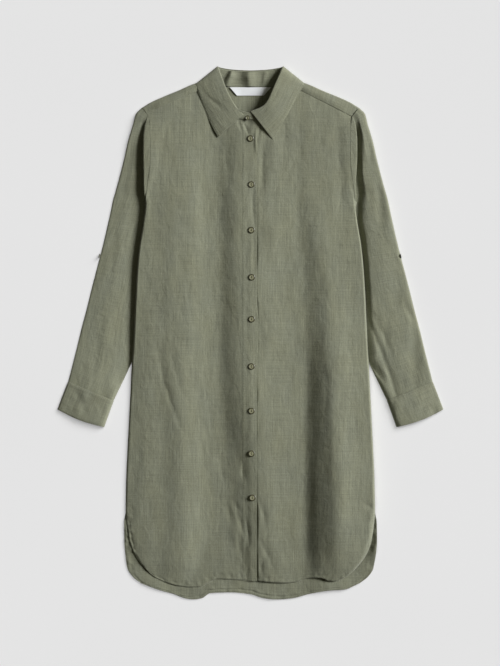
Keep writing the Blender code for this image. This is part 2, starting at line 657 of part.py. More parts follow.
def build_buttons(collection):
    """Nine buttons down the placket, one on the stand and one on each sleeve's outer fold."""
    for i, creep in enumerate(BUTTON_CREEP):
        y = TOP_BUTTON_Y - BUTTON_SPACING * i + creep
        button = turned_button(f"button_{i + 1}", collection, BUTTON_RADIUS)
        seat = seat_on(front_height, BUTTON_X, y, BUTTON_RADIUS)
        z = seat + LAYER + WALL / 2 + SEWN_SLACK
        button.location = (BUTTON_X * MM, y * MM, z * MM)
    button = turned_button("button_neck", collection, TAB_BUTTON_RADIUS)
    button.location = [c * MM for c in NECK_BUTTON]
    rings_y = [ring.outer_y for ring in SLEEVE_RINGS]
    fold = smooth(rings_y, [ring.outer_x for ring in SLEEVE_RINGS], TAB_BUTTON_Y)
    tab_x = float(fold) + WALL / 2 + SEWN_SLACK
    for side, sign in (("right", -1.0), ("left", 1.0)):
        button = turned_button(f"tab_button_{side}", collection, TAB_BUTTON_RADIUS)
        button.location = (sign * tab_x * MM, TAB_BUTTON_Y * MM, TAB_BUTTON_Z * MM)
        button.rotation_euler = (0.0, sign * math.pi / 2, sign * SLEEVE_SPLAY)


def main():
    for old in list(bpy.data.objects):
        bpy.data.objects.remove(old)
    tunic = bpy.data.collections.new("tunic_top")
    bpy.context.scene.collection.children.link(tunic)
    cloth("back", [back_panel()], tunic)
    cloth("yoke", yoke_sheets(), tunic)
    fronts = {side: front_panel(side) for side in ("right", "left")}
    cloth("front_right", [fronts["right"]], tunic)
    cloth("front_left", [fronts["left"]], tunic)
    cloth("placket", [placket_band(fronts["right"])], tunic)
    for side, sign in (("right", -1.0), ("left", 1.0)):
        cloth(f"sleeve_{side}", [tube(SLEEVE_RINGS, sign)], tunic)
        cloth(f"cuff_{side}", [tube(CUFF_RINGS, sign, CUFF_BULGE)], tunic)
    cloth("collar_stand", [band(STAND_RIGHT, STAND_BACK, STAND_LEFT, 0.0, STAND_STEPS)], tunic)
    cloth("collar_leaf", [band(LEAF_RIGHT, LEAF_BACK, LEAF_LEFT, LEAF_ARCH, LEAF_STEPS)], tunic)
    cloth("label", [label_sheet()], tunic, IVORY)
    build_buttons(tunic)


main()
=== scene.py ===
"""Long-sleeved linen shirt tunic, lying flat on its back, in cloth, thread and horn.

The frame has +X to the side, +Y from hem to collar and +Z up from the surface that the
tunic lies on. Tables are in millimetres. Right and left are the wearer's: right is at -X.
"""
from __future__ import annotations

import json
import logging
import math
from dataclasses import dataclass, field
from enum import Enum
from typing import Callable, NamedTuple, Sequence

import bmesh
import bpy
import numpy as np
from bpy.types import Material, Mesh, NodeSocket, Object
from mathutils import Euler, Matrix, Vector

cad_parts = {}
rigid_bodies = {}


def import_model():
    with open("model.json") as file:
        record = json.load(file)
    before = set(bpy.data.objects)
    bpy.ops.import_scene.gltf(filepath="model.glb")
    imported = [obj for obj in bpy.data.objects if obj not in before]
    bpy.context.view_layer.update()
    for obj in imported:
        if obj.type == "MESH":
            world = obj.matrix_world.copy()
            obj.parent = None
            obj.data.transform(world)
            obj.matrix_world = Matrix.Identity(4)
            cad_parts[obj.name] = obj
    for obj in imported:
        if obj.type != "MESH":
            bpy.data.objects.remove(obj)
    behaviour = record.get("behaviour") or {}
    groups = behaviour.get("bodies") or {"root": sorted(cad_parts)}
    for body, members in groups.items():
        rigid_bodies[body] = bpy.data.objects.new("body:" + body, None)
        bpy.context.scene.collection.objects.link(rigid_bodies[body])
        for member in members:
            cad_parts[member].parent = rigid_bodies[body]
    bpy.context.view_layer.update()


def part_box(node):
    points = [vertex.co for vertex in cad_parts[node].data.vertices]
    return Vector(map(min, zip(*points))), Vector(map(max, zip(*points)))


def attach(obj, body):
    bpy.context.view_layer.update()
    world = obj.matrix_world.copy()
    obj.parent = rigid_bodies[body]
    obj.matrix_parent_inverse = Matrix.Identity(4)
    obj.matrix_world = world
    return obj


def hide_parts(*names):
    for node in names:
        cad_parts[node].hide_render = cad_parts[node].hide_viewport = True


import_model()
LOG = logging.getLogger("tunic")

Array = np.ndarray
Span = tuple[float, float]
Curve = Sequence[tuple[float, float]]
Colour = tuple[float, float, float]

MM = 0.001
GAP = 0.3  # between the edges of neighbouring pieces
LAYER = 1.5  # from one layer of cloth to the next
FLOOR = 0.6  # middle of the cloth that lies on the surface
WALL = 0.8  # thickness of one layer of cloth
COLLAR_WALL = 1.3  # thickness of cloth with its interlining
NET = 97  # size of the net of random heights
FAR = 1e3  # beyond any edge


class Hand(Enum):
    """A side of the tunic, by the wearer, with the sign of its x."""

    RIGHT = -1.0
    LEFT = 1.0

    @property
    def word(self) -> str:
        """The side's name in node names."""
        return self.name.lower()


class Side(NamedTuple):
    """Outer edge of the body: half width, lift of the front over the back, and its roll."""

    y: float
    half: float
    lift: float = 0.0
    roll: float = 0.0


class Ring(NamedTuple):
    """A ring of a sleeve: inner end, outer fold, height, armhole lip, and the lip's heights."""

    inner_x: float
    inner_y: float
    outer_x: float
    outer_y: float
    loft: float
    lip: float = 0.0
    seam_z: float = 2.1
    deep: float = 2.1

    @property
    def run(self) -> Span:
        """The way from its inner end to its outer fold, in x and y."""
        return self.outer_x - self.inner_x, self.outer_y - self.inner_y


class Section(NamedTuple):
    """A section of a collar band, from its seam or outer edge to the roll line."""

    low_x: float
    low_y: float
    low_z: float
    high_x: float
    high_y: float
    high_z: float


class FoldPoint(NamedTuple):
    """A point of a fold in the cloth: how deep it is, and how wide to its -X and +X sides."""

    x: float
    y: float
    depth: float
    left: float
    right: float


class Fold(NamedTuple):
    """A fold drawn on the cloth: a trough where its depth is positive, a ridge where negative.

    Each point of its path is x, y and depth, then its own widths where widths is empty.
    """

    widths: tuple[float, ...]
    sharpness: float
    path: tuple[tuple[float, ...], ...]


def rows(kind: type, table: Sequence[tuple[float, ...]]) -> tuple:
    """Name the columns of a table, by making each row one of a kind of named tuple."""
    return tuple(kind(*row) for row in table)


UNDERARM_Y = 241.8
CENTRE_EDGE = 11.4
UNDERLAP = 12.0
PLACKET_WIDTH = 25.5
BACK_YOKE_SEAM_Y = 345.0
YOKE_HALF = 185.0
NECK_LIFT_Y = 428.0
SLEEVE_SPLAY = math.radians(14.0)
BUTTON_X = 1.9
TOP_BUTTON_Y = 361.4
BUTTON_SPACING = 83.5
# How far each button sits from its even place, along the band and across it.
BUTTON_CREEP = (-0.8, -2.6, -3.5, -7.3, -1.3, -5.2, -4.0, 0.4, 1.9)
BUTTON_STRAY = (-1.6, 0.0, 0.0, 0.7, 0.5, 0.2, 0.2, 0.2, 1.9)
BUTTON_RADIUS = 6.1
NECK_BUTTON_RADIUS = 4.5
NECK_BUTTON = (-5.0, 398.8, 15.6)
TAB_BUTTON_RADIUS = 4.6
# How far the sleeves' buttons stand out of their outer folds.
TAB_BUTTON_PROUD = {Hand.RIGHT: 0.7, Hand.LEFT: -0.8}
YOKE_SEAM_END = {Hand.RIGHT: (193.6, 408.5), Hand.LEFT: (188.2, 401.5)}

# How far the underlap gapes below the front, by y.
UNDERLAP_GAPE = (
    (266, 0), (206, 0.2), (173, 1.5), (140, 1.9), (117, 0.5), (87, 0.1), (61, 1.8), (39, 2.8),
    (20, 3), (2, 1.2), (-17, 2.4), (-39, 1.2), (-61, 0.2), (-87, 0.4), (-117, 1.6), (-147, 0.4),
    (-180, 1), (-218, 0.2), (-264, 0.4), (-310, 1),
)

# How far the placket sways to the side, by y.
PLACKET_SWAY = (
    (110, 0), (61, 0.6), (38, 2.2), (18, 3.2), (0, 2.4), (-22, 2.4), (-40, 1.8), (-64, 0.6),
    (-90, 0), (-430, 0),
)

ARMHOLE = rows(Side, (
    (418, 201.4, 8.4, 24), (401.5, 188.2, 9.6, 24), (379, 185.6, 12.4, 24),
    (352, 185.1, 13.9, 24), (325, 185, 14.5, 24), (300, 187, 14.7, 20), (277, 190.2, 14.3, 12),
    (256, 193, 12.8, 6), (241.8, 193.8, 8.4, 2.5),
))

SIDE_SEAM = rows(Side, (
    (222, 196, 3.2, 2.5), (196, 199.8, 1.8, 2.5), (163.7, 205.3, 1.6, 2.5),
    (120, 209.8, 1.6, 2.5), (72, 213, 1.6, 3.5), (20, 215.4, 1.6, 3.5), (-30, 217.8, 1.6, 3.5),
    (-62, 220, 1.6, 3.5), (-100, 222, 1.6, 3.5), (-160, 225.2, 1.6, 3.5), (-220, 228.2, 1.6, 3.5),
    (-275, 230.6, 1.9, 4), (-327, 231.4, 2.8, 6),
))

FRONT_TAIL = rows(Side, (
    (-350, 230, 3.4, 12), (-376, 226.6, 3.4, 14), (-400, 220.6, 3.2, 16), (-419, 210.2, 3.4, 18),
    (-435, 197, 3.8, 22),
))

BACK_TAIL = rows(Side, (
    (-352, 234.4), (-384, 234.2), (-415, 231.8), (-437, 228.4), (-452, 218.8), (-464, 203.5),
))

NECKLINE = (
    (83, 455), (75, 438), (58, 414), (35, 401), (8, 397), (-13.2, 397),
)

HEM_RIGHT = (
    (-195.8, -435), (-175, -453.6), (-153.6, -463.1), (-132, -468.7), (-111, -471.1),
    (-94, -470.5), (-78, -463.5), (-62, -455.8), (-25.5, -457.9), (13.2, -459.4),
)

HEM_LEFT = (
    (195.8, -435), (182, -446.6), (169, -455), (155, -459.4), (142, -458.4), (135.5, -454.6),
    (121, -453.4), (105.3, -454.6), (84, -461.3), (67, -463.1), (45.4, -462.2), (-12, -457),
)

BACK_HEM = (
    (-203.5, -464), (-174.8, -475), (-138.8, -485.6), (-123.7, -491.8), (-106, -494.4),
    (-89.7, -492), (-74.4, -482.5), (-37, -481.2), (0, -484.7), (24.2, -492), (50, -494.4),
    (77.4, -492.2), (109.7, -484), (147.9, -477.4), (173.5, -476), (203.5, -464),
)

FRONT_LOFT = (
    (460, 9.6), (418, 12.3), (380, 14), (300, 15.6), (200, 17), (60, 18), (-100, 18),
    (-350, 17.6), (-420, 14.2), (-450, 9.6), (-470, 7),
)

SLEEVE_RINGS = rows(Ring, (
    (188.2, 401.5, 201.4, 418, 11.6, 2, 11.3, 11.1),
    (186.8, 391, 212.3, 406.6, 12.3, 6.6, 12.5, 11.2),
    (185.6, 379, 217, 388.6, 12.2, 10.6, 12.9, 8), (185.1, 352, 226.4, 357.5, 11.6, 13, 14.4, 4),
    (185, 325, 233, 328.5, 10.8, 13, 15, 2.5), (187, 300, 239.6, 302, 9.8, 10.2, 15.1, 2.1),
    (190.2, 277, 245.8, 278.5, 9.8, 6.6, 14.6, 2.1), (193, 256, 251.6, 258, 9.8, 2.8, 12.6, 2.1),
    (193.8, 241.8, 255.2, 245.5, 9.8, 0, 7, 2.1), (186, 224, 258.2, 231, 9.8),
    (168, 190, 264.6, 202, 9.8), (158, 150, 272.7, 167, 10), (158, 105, 283.2, 126, 10),
    (167, 60, 294.2, 84, 10), (182, 18, 303.8, 45, 9.8), (201, -20, 313.6, 8, 9.8),
    (220, -54, 321.4, -24, 9.6), (238, -91, 329.6, -57, 9.4), (254.1, -124.2, 338, -89.7, 9),
))

CUFF_RINGS = rows(Ring, (
    (254.2, -124.6, 338.2, -90.1, 9.8), (263.2, -149.2, 348.2, -115.6, 9.6),
    (272, -173.9, 358, -141.4, 9.2),
))

# x and y of the fold over the shoulder, and the heights of its two layers.
SHOULDER_FOLD = (
    (201.4, 418, 8.6, 0.6), (184.1, 428.6, 8.8, 0.6), (158, 440.2, 9.2, 0.6),
    (132, 450.8, 9.6, 0.6), (112, 459.8, 9.8, 1.4), (99, 464.4, 10.2, 2.8), (80, 469, 10.2, 2.6),
)

BACK_NECK = (
    (80, 466), (64, 460.5), (40, 457.8), (0, 457.6),
)

STAND_RIGHT = rows(Section, (
    (-10, 396.2, 13.9, -4.5, 405.5, 16), (3, 396.2, 13.9, 5, 409, 16.6),
    (18, 397.4, 13.9, 17.5, 411.6, 17.6), (36, 400.6, 14, 28, 418.5, 18.4),
    (57, 415, 13.2, 37, 432, 18), (73, 438, 12.6, 45, 449.5, 16.6),
    (79.5, 455, 11.8, 51, 468, 14.2), (79, 464, 9.8, 56, 482, 11.4),
))

STAND_LEFT = rows(Section, (
    (-10, 396.4, 12.6, -8, 403.5, 14.4), (2, 396.4, 12.7, 0, 406.5, 14.8),
    (18, 397.8, 13.8, 12, 411.5, 16.6), (36, 400.6, 14.4, 25, 419.5, 18.6),
    (57, 415, 13.8, 34, 431, 20.2), (73, 438, 12.8, 40.5, 446.5, 19.8),
    (79.5, 455, 11.8, 48.4, 465, 17), (79, 464, 9.8, 53, 480, 13.2),
))

STAND_BACK = rows(Section, (
    (76.4, 466, 6, 57.8, 489.6, 8), (72, 465, 3, 53, 488.6, 5), (60, 460.6, 2.3, 44, 487.4, 4),
    (38, 458.4, 2.3, 30, 486.2, 3.6), (12, 458.2, 2.3, 10, 485.4, 3.4),
))

LEAF_RIGHT = rows(Section, (
    (59.4, 363.6, 13, 13.4, 403.2, 17), (67, 377, 13.7, 20.5, 410.5, 17.6),
    (76, 395, 13.4, 27.9, 418.8, 18.4), (85.5, 417, 13, 36.6, 433, 18.8),
    (94, 440, 12.2, 45.4, 451, 17.6), (99.6, 455, 11.2, 52.4, 470, 15.6),
    (101.6, 461.4, 10.4, 58.4, 485.6, 13.4),
))

LEAF_LEFT = rows(Section, (
    (42.5, 357.6, 15.7, 1.6, 409.6, 17.8), (58, 386, 15.6, 22.8, 418.6, 19.4),
    (73, 413, 14.6, 33.2, 430, 20.8), (85.6, 437, 13.4, 40.6, 446, 20.6),
    (95.6, 454.6, 12, 49, 465.6, 18.2), (100, 460.6, 10.6, 56.8, 482.4, 15.2),
))

LEAF_BACK = rows(Section, (
    (101.2, 462.6, 6, 61.2, 494.4, 8), (99.8, 461.2, 1, 60.6, 494.9, 2.6),
    (94, 456, 0.6, 52, 492.6, 0.8), (74, 444, 0.6, 38, 490.2, 0.8),
    (40, 438.6, 0.6, 18, 488.6, 0.8), (0, 437.2, 0.6, 0, 488, 0.8),
))

FRONT_FOLDS = rows(Fold, (
    # trough beside the placket
    ((), 2.2, (
        (-50, 411, 2, 26, 20.5), (-60, 340, 4.5, 40.9, 22.3), (-65, 266, 6, 44.6, 24.2),
        (-63, 210, 7.5, 46.5, 22.3), (-61, 154, 6, 48.4, 22.3), (-61, 99, 6.9, 50.2, 25.1),
        (-61, 43, 8, 52.1, 27), (-61, -13, 8.9, 55.8, 27.9), (-60, -69, 10, 57.7, 27.9),
        (-60, -125, 11.6, 61.4, 32.6), (-56, -180, 13.6, 63.2, 35.3),
        (-56, -236, 14.4, 63.2, 42.8), (-58, -292, 15, 63.2, 52.1), (-60, -348, 15.2, 61.4, 59.5),
        (-60, -404, 14.2, 61.4, 61.4), (-58, -474, 10, 59.5, 55.8),
    )),
    # deep trough on the left front
    ((), 2, (
        (87, 266, 0.6, 22.3, 14.9), (87, 210, 2.2, 37.2, 18.6), (89, 154, 4, 48.4, 22.3),
        (93, 99, 4.2, 55.8, 24.2), (97, 43, 5.1, 63.2, 22.3), (100, -13, 6.5, 68.8, 21.4),
        (101, -69, 8.4, 70.7, 20.5), (101, -125, 9.6, 70.7, 20.5), (100, -180, 10.4, 70.7, 20.5),
        (100, -236, 11, 70.7, 20.5), (100, -292, 11, 70.7, 20.5), (100, -348, 11, 68.8, 20.5),
        (100, -404, 9.6, 67, 20.5), (100, -441, 5.8, 63.2, 22.3), (100, -482, 3, 59.5, 22.3),
    )),
    # ridge outside the deep trough
    ((), 2, (
        (125, 219, -0.6, 22.3, 26), (134, 154, -1.8, 22.3, 26), (141, 99, -2.7, 22.3, 33.5),
        (145, 43, -3.6, 23.2, 37.2), (149, -13, -4.7, 23.2, 37.2), (153, -69, -6.8, 24.2, 37.2),
        (155, -125, -7.4, 24.2, 37.2), (157, -180, -8.2, 23.2, 39.1), (158, -236, -9, 24.2, 40.9),
        (160, -292, -9.4, 24.2, 42.8), (160, -348, -9.6, 24.2, 44.6), (162, -394, -8.8, 26, 44.6),
        (164, -426, -5, 27.9, 44.6), (166, -454, -2.4, 29.8, 44.6), (167, -482, -1, 29.8, 44.6),
    )),
    # hollow under the placket's lower end
    ((), 2, (
        (-11, -199, 0.6, 13, 26), (-9, -273, 1.6, 16.7, 33.5), (-7, -348, 2, 18.6, 40.9),
        (-7, -422, 1.8, 18.6, 40.9), (-7, -474, 1, 18.6, 37.2),
    )),
    # shallow trough by the right side
    ((), 1.8, (
        (-164, 6, 0.4, 14.9, 18.6), (-162, -87, 1.4, 16.7, 18.6), (-160, -180, 1.8, 16.7, 20.5),
        (-164, -348, 1.6, 16.7, 20.5), (-167, -459, 1, 16.7, 18.6),
    )),
    # trough by the left armhole
    ((), 1.8, (
        (164, 396, 0.5, 9.3, 14.9), (167, 322, 1.5, 11.2, 13), (169, 247, 1.2, 11.2, 11.2),
        (171, 182, 0.4, 11.2, 11.2),
    )),
    # fold from the left collar point
    ((), 1.7, (
        (93, 433, 0.4, 7.4, 9.3), (91, 340, 1.2, 13, 9.3), (89, 238, 1, 14.9, 11.2),
        (89, 173, 0.3, 14.9, 11.2),
    )),
    # short fold under the left collar point
    ((), 1.5, ((61, 400, 0.5, 5.6, 7.4), (63, 363, 1.2, 5.6, 7.4), (60, 326, 0.3, 5.6, 9.3))),
    # fold under the right collar point
    ((5.6, 7.4), 1.5, ((-39, 363, 0.4), (-45, 322, 1), (-39, 275, 0.3))),
    # crease on the right front, upper
    ((3.7, 5.6), 1.4, ((-175, -17, 0.4), (-160, -93, 1), (-143, -140, 1.2), (-125, -192, 0.3))),
    # crease on the right front, beside it
    ((3.7, 5.6), 1.4, ((-149, -28, 0.3), (-140, -65, 0.8), (-128, -110, 0.3))),
    # tuck beside the top button
    ((), 2, (
        (11, 378, -0.5, 3.7, 13), (10, 363, -2, 3.5, 14.9), (11, 346, -1.6, 3.5, 14.9),
        (12, 327, -0.4, 3.7, 14.9),
    )),
    # fold to the top button, right side
    ((), 1.5, ((-22, 396, 1, 2.2, 3.3), (-20, 385, 1.8, 2.2, 3.7), (-17, 376, 0.4, 2.2, 3.7))),
    # second fold to the top button, right side
    ((), 1.5, ((-14, 392, 0.8, 2.4, 4.5), (-8, 379, 2.2, 2.4, 5.2), (-4, 370, 1.2, 2.2, 4.1))),
    # fold to the top button, left side
    ((), 1.5, (
        (22, 389, 0.3, 3, 3.7), (16, 374, 1.4, 3, 3.3), (13, 357, 0.9, 3, 3.3),
        (15, 340, 0.3, 3, 3.3),
    )),
    # hollow under the stand's front
    ((), 2, ((-4, 402, 0.4, 7.4, 7.4), (-3, 391, 1.8, 7.4, 7.4), (-1, 379, 0.4, 5.6, 5.6))),
    # dip beside the second button
    ((), 1.5, (
        (24, 359, 0.3, 5.6, 5.6), (23, 326, 1.3, 5.6, 5.6), (22, 288, 1.5, 4.8, 5.6),
        (24, 262, 0.3, 3.7, 5.6),
    )),
    # stripe on the placket under the second button
    ((), 1.5, (
        (5, 270, 0.3, 4.5, 5.6), (4, 247, 1.2, 4.8, 5.6), (5, 221, 1.1, 4.5, 5.2),
        (7, 203, 0.3, 4.1, 4.5),
    )),
    # stripe on the placket under the third button
    ((), 1.5, ((6, 162, 0.2, 4.5, 4.5), (6, 136, 0.8, 4.8, 4.1), (6, 115, 0.2, 4.5, 4.1))),
    # crumples low on the right front
    ((3.7, 5.6), 1.4, ((-45, -303, 0.5), (-41, -333, 1.9), (-33, -355, 0.5))),
    ((3.7, 5.6), 1.4, ((-26, -326, 0.5), (-19, -350, 2), (-13, -372, 0.5))),
    ((3.7, 5.6), 1.4, ((-35, -385, 0.5), (-33, -407, 1.9), (-33, -437, 0.5))),
    ((3, 4.5), 1.4, ((-13, -240, 0.5), (-14, -259, 1.5), (-13, -273, 0.5))),
    ((3.7, 5.6), 1.4, ((-58, -227, 0.5), (-53, -255, 1.5), (-45, -285, 0.5))),
    ((3.7, 5.6), 1.3, ((-43, -366, 0.5), (-39, -394, 1.8), (-35, -422, 0.5))),
    ((3.7, 5.6), 1.3, ((-22, -376, 0.5), (-20, -400, 2), (-13, -426, 0.6))),
    ((3.3, 4.8), 1.3, ((-32, -307, 0.4), (-26, -322, 1.6), (-17, -333, 0.4))),
    ((3, 4.5), 1.3, ((-7, -348, 0.4), (-4, -370, 1.4), (-2, -394, 0.4))),
    ((3.7, 5.6), 1.3, ((-48, -422, 0.4), (-43, -441, 1.4), (-37, -459, 0.6))),
    # crumples right of the slit
    ((3, 4.8), 1.3, ((22, -415, 0.4), (20, -433, 1.6), (22, -452, 0.6))),
    ((3, 5.6), 1.4, ((17, -311, 0.6), (24, -335, 1.9), (26, -357, 0.5))),
    ((3, 5.6), 1.4, ((19, -385, 0.6), (30, -409, 1.9), (41, -432, 0.5))),
    # crease in the deep trough's wall
    ((3.7, 5.6), 1.4, ((141, -73, 0.3), (141, -110, 0.9), (138, -147, 0.3))),
    # crease on the left front, outer
    ((3.7, 5.6), 1.4, ((180, -6, 0.3), (182, -32, 0.8), (193, -73, 0.6), (199, -99, 0.3))),
    # pinch at the left vent
    ((3.7, 3.7), 1.6, ((206, -311, 0.3), (219, -320, 1.6), (231, -327, 1))),
))

BACK_FOLDS = rows(Fold, (
    # foot of the deep trough
    ((), 2, (
        (138, -422, -2.4, 27.9, 40.9), (138, -463, -4.4, 31.6, 44.6),
        (141, -506, -2.4, 27.9, 40.9),
    )),
))

RIGHT_SLEEVE_FOLDS = rows(Fold, (
    # fold above the right elbow
    ((5.6, 7.4), 1.6, ((-253, 195, 0.4), (-257, 132, 1.8), (-264, 61, 0.5))),
    # fold below the right elbow
    ((5.6, 7.4), 1.6, ((-279, 28, 0.4), (-286, -28, 2), (-294, -84, 0.8))),
    # fold at the right forearm
    ((3.7, 5.6), 1.6, ((-301, 6, 0.3), (-307, -35, 1.2), (-312, -76, 0.4))),
    # fold at the right upper arm
    ((), 1.8, (
        (-231, 303, 0.3, 5.6, 7.4), (-238, 238, 1.2, 5.6, 9.3), (-246, 182, 0.3, 5.6, 7.4),
    )),
))

LEFT_SLEEVE_FOLDS = rows(Fold, (
    # long diagonal crease on the left sleeve
    ((), 1.4, (
        (219, 28, 0.6, 3.7, 5.6), (238, -22, 2.6, 4.5, 6.3), (257, -73, 3, 4.5, 6.3),
        (272, -121, 1.2, 3.7, 5.6),
    )),
    # its upper branch
    ((3.7, 5.6), 1.5, ((225, 39, 0.3), (249, -9, 1.6), (264, -54, 0.4))),
    # short crease above the left elbow
    ((3.7, 5.6), 1.4, ((285, 58, 0.3), (292, 41, 1.8), (303, 22, 0.3))),
    # fold at the left upper arm
    ((), 1.8, ((231, 322, 0.3, 5.6, 7.4), (238, 257, 1.2, 5.6, 9.3), (246, 192, 0.3, 5.6, 7.4))),
))

STAND_FOLDS = rows(Fold, (
    # wrinkle in the back of the stand, right
    ((), 1.8, (
        (-34, 491, -2, 4.5, 7.4), (-36, 478, -4.6, 4.8, 8.2), (-42, 463, -3, 4.8, 7.4),
        (-45, 452, -1, 4.5, 7.4),
    )),
    # wrinkle in the back of the stand, middle
    ((), 1.8, ((-4, 489, -4, 9.3, 13), (-3, 474, -6.4, 10.2, 13), (-1, 459, -3.2, 8.4, 11.2))),
    # wrinkle in the back of the stand, left
    ((3.7, 5.6), 1.8, ((28, 485, -0.8), (26, 471, -1.4), (22, 459, -0.6))),
    # tilted crease at the stand's right end
    ((), 1.8, ((-48, 463, -0.6, 3, 4.5), (-41, 476, -1.8, 3, 4.8), (-32, 487, -0.8, 3, 4.5))),
))

LEAF_FOLDS = rows(Fold, (
    # crease in the right leaf
    ((3, 3.7), 1.6, ((-86, 443, 0.2), (-65, 426, 1.2), (-48, 411, 0.3))),
    # crease in the left leaf
    ((3, 3.7), 1.6, ((84, 443, 0.2), (60, 432, 1.2), (39, 420, 0.3))),
))


def smooth(keys: Sequence[float], values: Sequence[float], at: Array) -> Array:
    """Read a smooth curve through values, with no overshoot between them.

    Args:
        keys: Where the values stand, rising or falling.
        values: The values.
        at: Where to read them; outside the keys, the end value holds.

    Returns:
        The curve's value at each place.
    """
    keys = np.asarray(keys, float)
    values = np.asarray(values, float)
    at = np.clip(np.asarray(at, float), keys.min(), keys.max())
    if keys[0] > keys[-1]:
        keys, values = keys[::-1], values[::-1]
    step = np.diff(keys)
    slope = np.diff(values) / step
    lean = np.zeros_like(values)
    lean[0], lean[-1] = slope[0], slope[-1]
    turn = slope[:-1] * slope[1:] > 0
    both = np.where(turn, slope[:-1] + slope[1:], 1.0)
    lean[1:-1] = np.where(turn, 2 * slope[:-1] * slope[1:] / both, 0.0)
    cell = np.clip(np.searchsorted(keys, at, side="right") - 1, 0, len(step) - 1)
    t = (at - keys[cell]) / step[cell]
    start = values[cell] * (1 + 2 * t) * (1 - t) ** 2 + lean[cell] * step[cell] * t * (1 - t) ** 2
    end = values[cell + 1] * t * t * (3 - 2 * t) + lean[cell + 1] * step[cell] * t * t * (t - 1)
    return start + end


def along(table: Curve, at: Array) -> Array:
    """Read a table of places and values smoothly."""
    places, values = zip(*table)
    return smooth(places, values, at)


def ease(low: float | Array, high: float | Array, value: float | Array) -> Array:
    """Rise smoothly from 0 where value is low to 1 where it is high."""
    t = np.clip((value - low) / (high - low), 0.0, 1.0)
    return t * t * (3 - 2 * t)


def bell(value: Array, middle: float, width: float) -> Array:
    """Fall off smoothly to both sides from 1 at a middle."""
    return np.exp(-(((value - middle) / width) ** 2))


def column(table: Sequence[NamedTuple], name: str) -> Array:
    """One named column of a table."""
    return np.array([getattr(row, name) for row in table], float)


def read(table: Sequence[NamedTuple], name: str, at: Array) -> Array:
    """Read one column of a table smoothly against the y of its rows."""
    return smooth(column(table, "y"), column(table, name), at)


def steps(points: Array, axis: int = 0) -> Array:
    """Lengths of the steps from point to point along an axis."""
    return np.linalg.norm(np.diff(points, axis=axis), axis=-1)


def chord(points: Array) -> Array:
    """Running length along a row of points, from 0 to 1."""
    length = np.concatenate([[0.0], np.cumsum(steps(points))])
    return length / length[-1]


def spline(points: Array, count: int, keys: Array | None = None) -> Array:
    """Even points on a smooth curve through a row of points.

    Args:
        points: The row, its last axis the coordinates.
        count: How many points to make.
        keys: Where the points stand from 0 to 1, or None for their running length.

    Returns:
        The new row.
    """
    flat = points.reshape(len(points), -1)
    keys = chord(flat) if keys is None else keys
    at = np.linspace(0.0, 1.0, count)
    made = np.stack([smooth(keys, flat[:, k], at) for k in range(flat.shape[1])], axis=1)
    return made.reshape((count,) + points.shape[1:])


def fold_depth(folds: Sequence[Fold], x: Array, y: Array) -> Array:
    """How far a set of folds sinks the cloth at each point of its plan.

    Args:
        folds: The folds.
        x: Across the tunic.
        y: Along the tunic.

    Returns:
        The depth, negative on ridges.
    """
    total = np.zeros_like(x)
    for fold in folds:
        path = [FoldPoint(*row, *fold.widths) for row in fold.path]
        nearest = np.full(x.shape, np.inf)
        depth = np.zeros_like(x)
        for a, b in zip(path, path[1:]):
            run_x, run_y = b.x - a.x, b.y - a.y
            length = math.hypot(run_x, run_y)
            t = np.clip(((x - a.x) * run_x + (y - a.y) * run_y) / length**2, 0.0, 1.0)
            off_x, off_y = x - a.x - run_x * t, y - a.y - run_y * t
            away = np.hypot(off_x, off_y)
            side = (off_x * -run_y + off_y * run_x) / length / np.maximum(away, 1e-6)
            share = 0.5 + 0.5 * np.clip(side if run_y < 0 else -side, -1.0, 1.0)
            left, right, sunk = (
                one + (two - one) * t
                for one, two in ((a.left, b.left), (a.right, b.right), (a.depth, b.depth))
            )
            fall = np.exp(-((away / (left + (right - left) * share)) ** fold.sharpness))
            depth = np.where(away < nearest, sunk * fall, depth)
            nearest = np.minimum(nearest, away)
        total += depth
    return total


@dataclass(frozen=True)
class Crumple:
    """Small uneven waves of handled linen, the same each time."""

    seed: int
    wave_x: float
    wave_y: float
    height: float
    shift: float = 200.0

    def at(self, x: Array, y: Array) -> Array:
        """Height of the waves at each point of the plan, about zero.

        Args:
            x: Places across.
            y: Places along.

        Returns:
            Heights in millimetres.
        """
        u, v = x / self.wave_x + self.shift, y / self.wave_y + self.shift
        net = np.random.default_rng(self.seed).normal(0.0, 1.0, (NET, NET))
        i, j = np.floor(u).astype(int), np.floor(v).astype(int)
        s, t = u - i, v - j
        s, t = s * s * (3 - 2 * s), t * t * (3 - 2 * t)
        i, j, next_i, next_j = (k % NET for k in (i, j, i + 1, j + 1))
        low = net[i, j] * (1 - s) + net[next_i, j] * s
        high = net[i, next_j] * (1 - s) + net[next_i, next_j] * s
        return self.height * (low * (1 - t) + high * t)


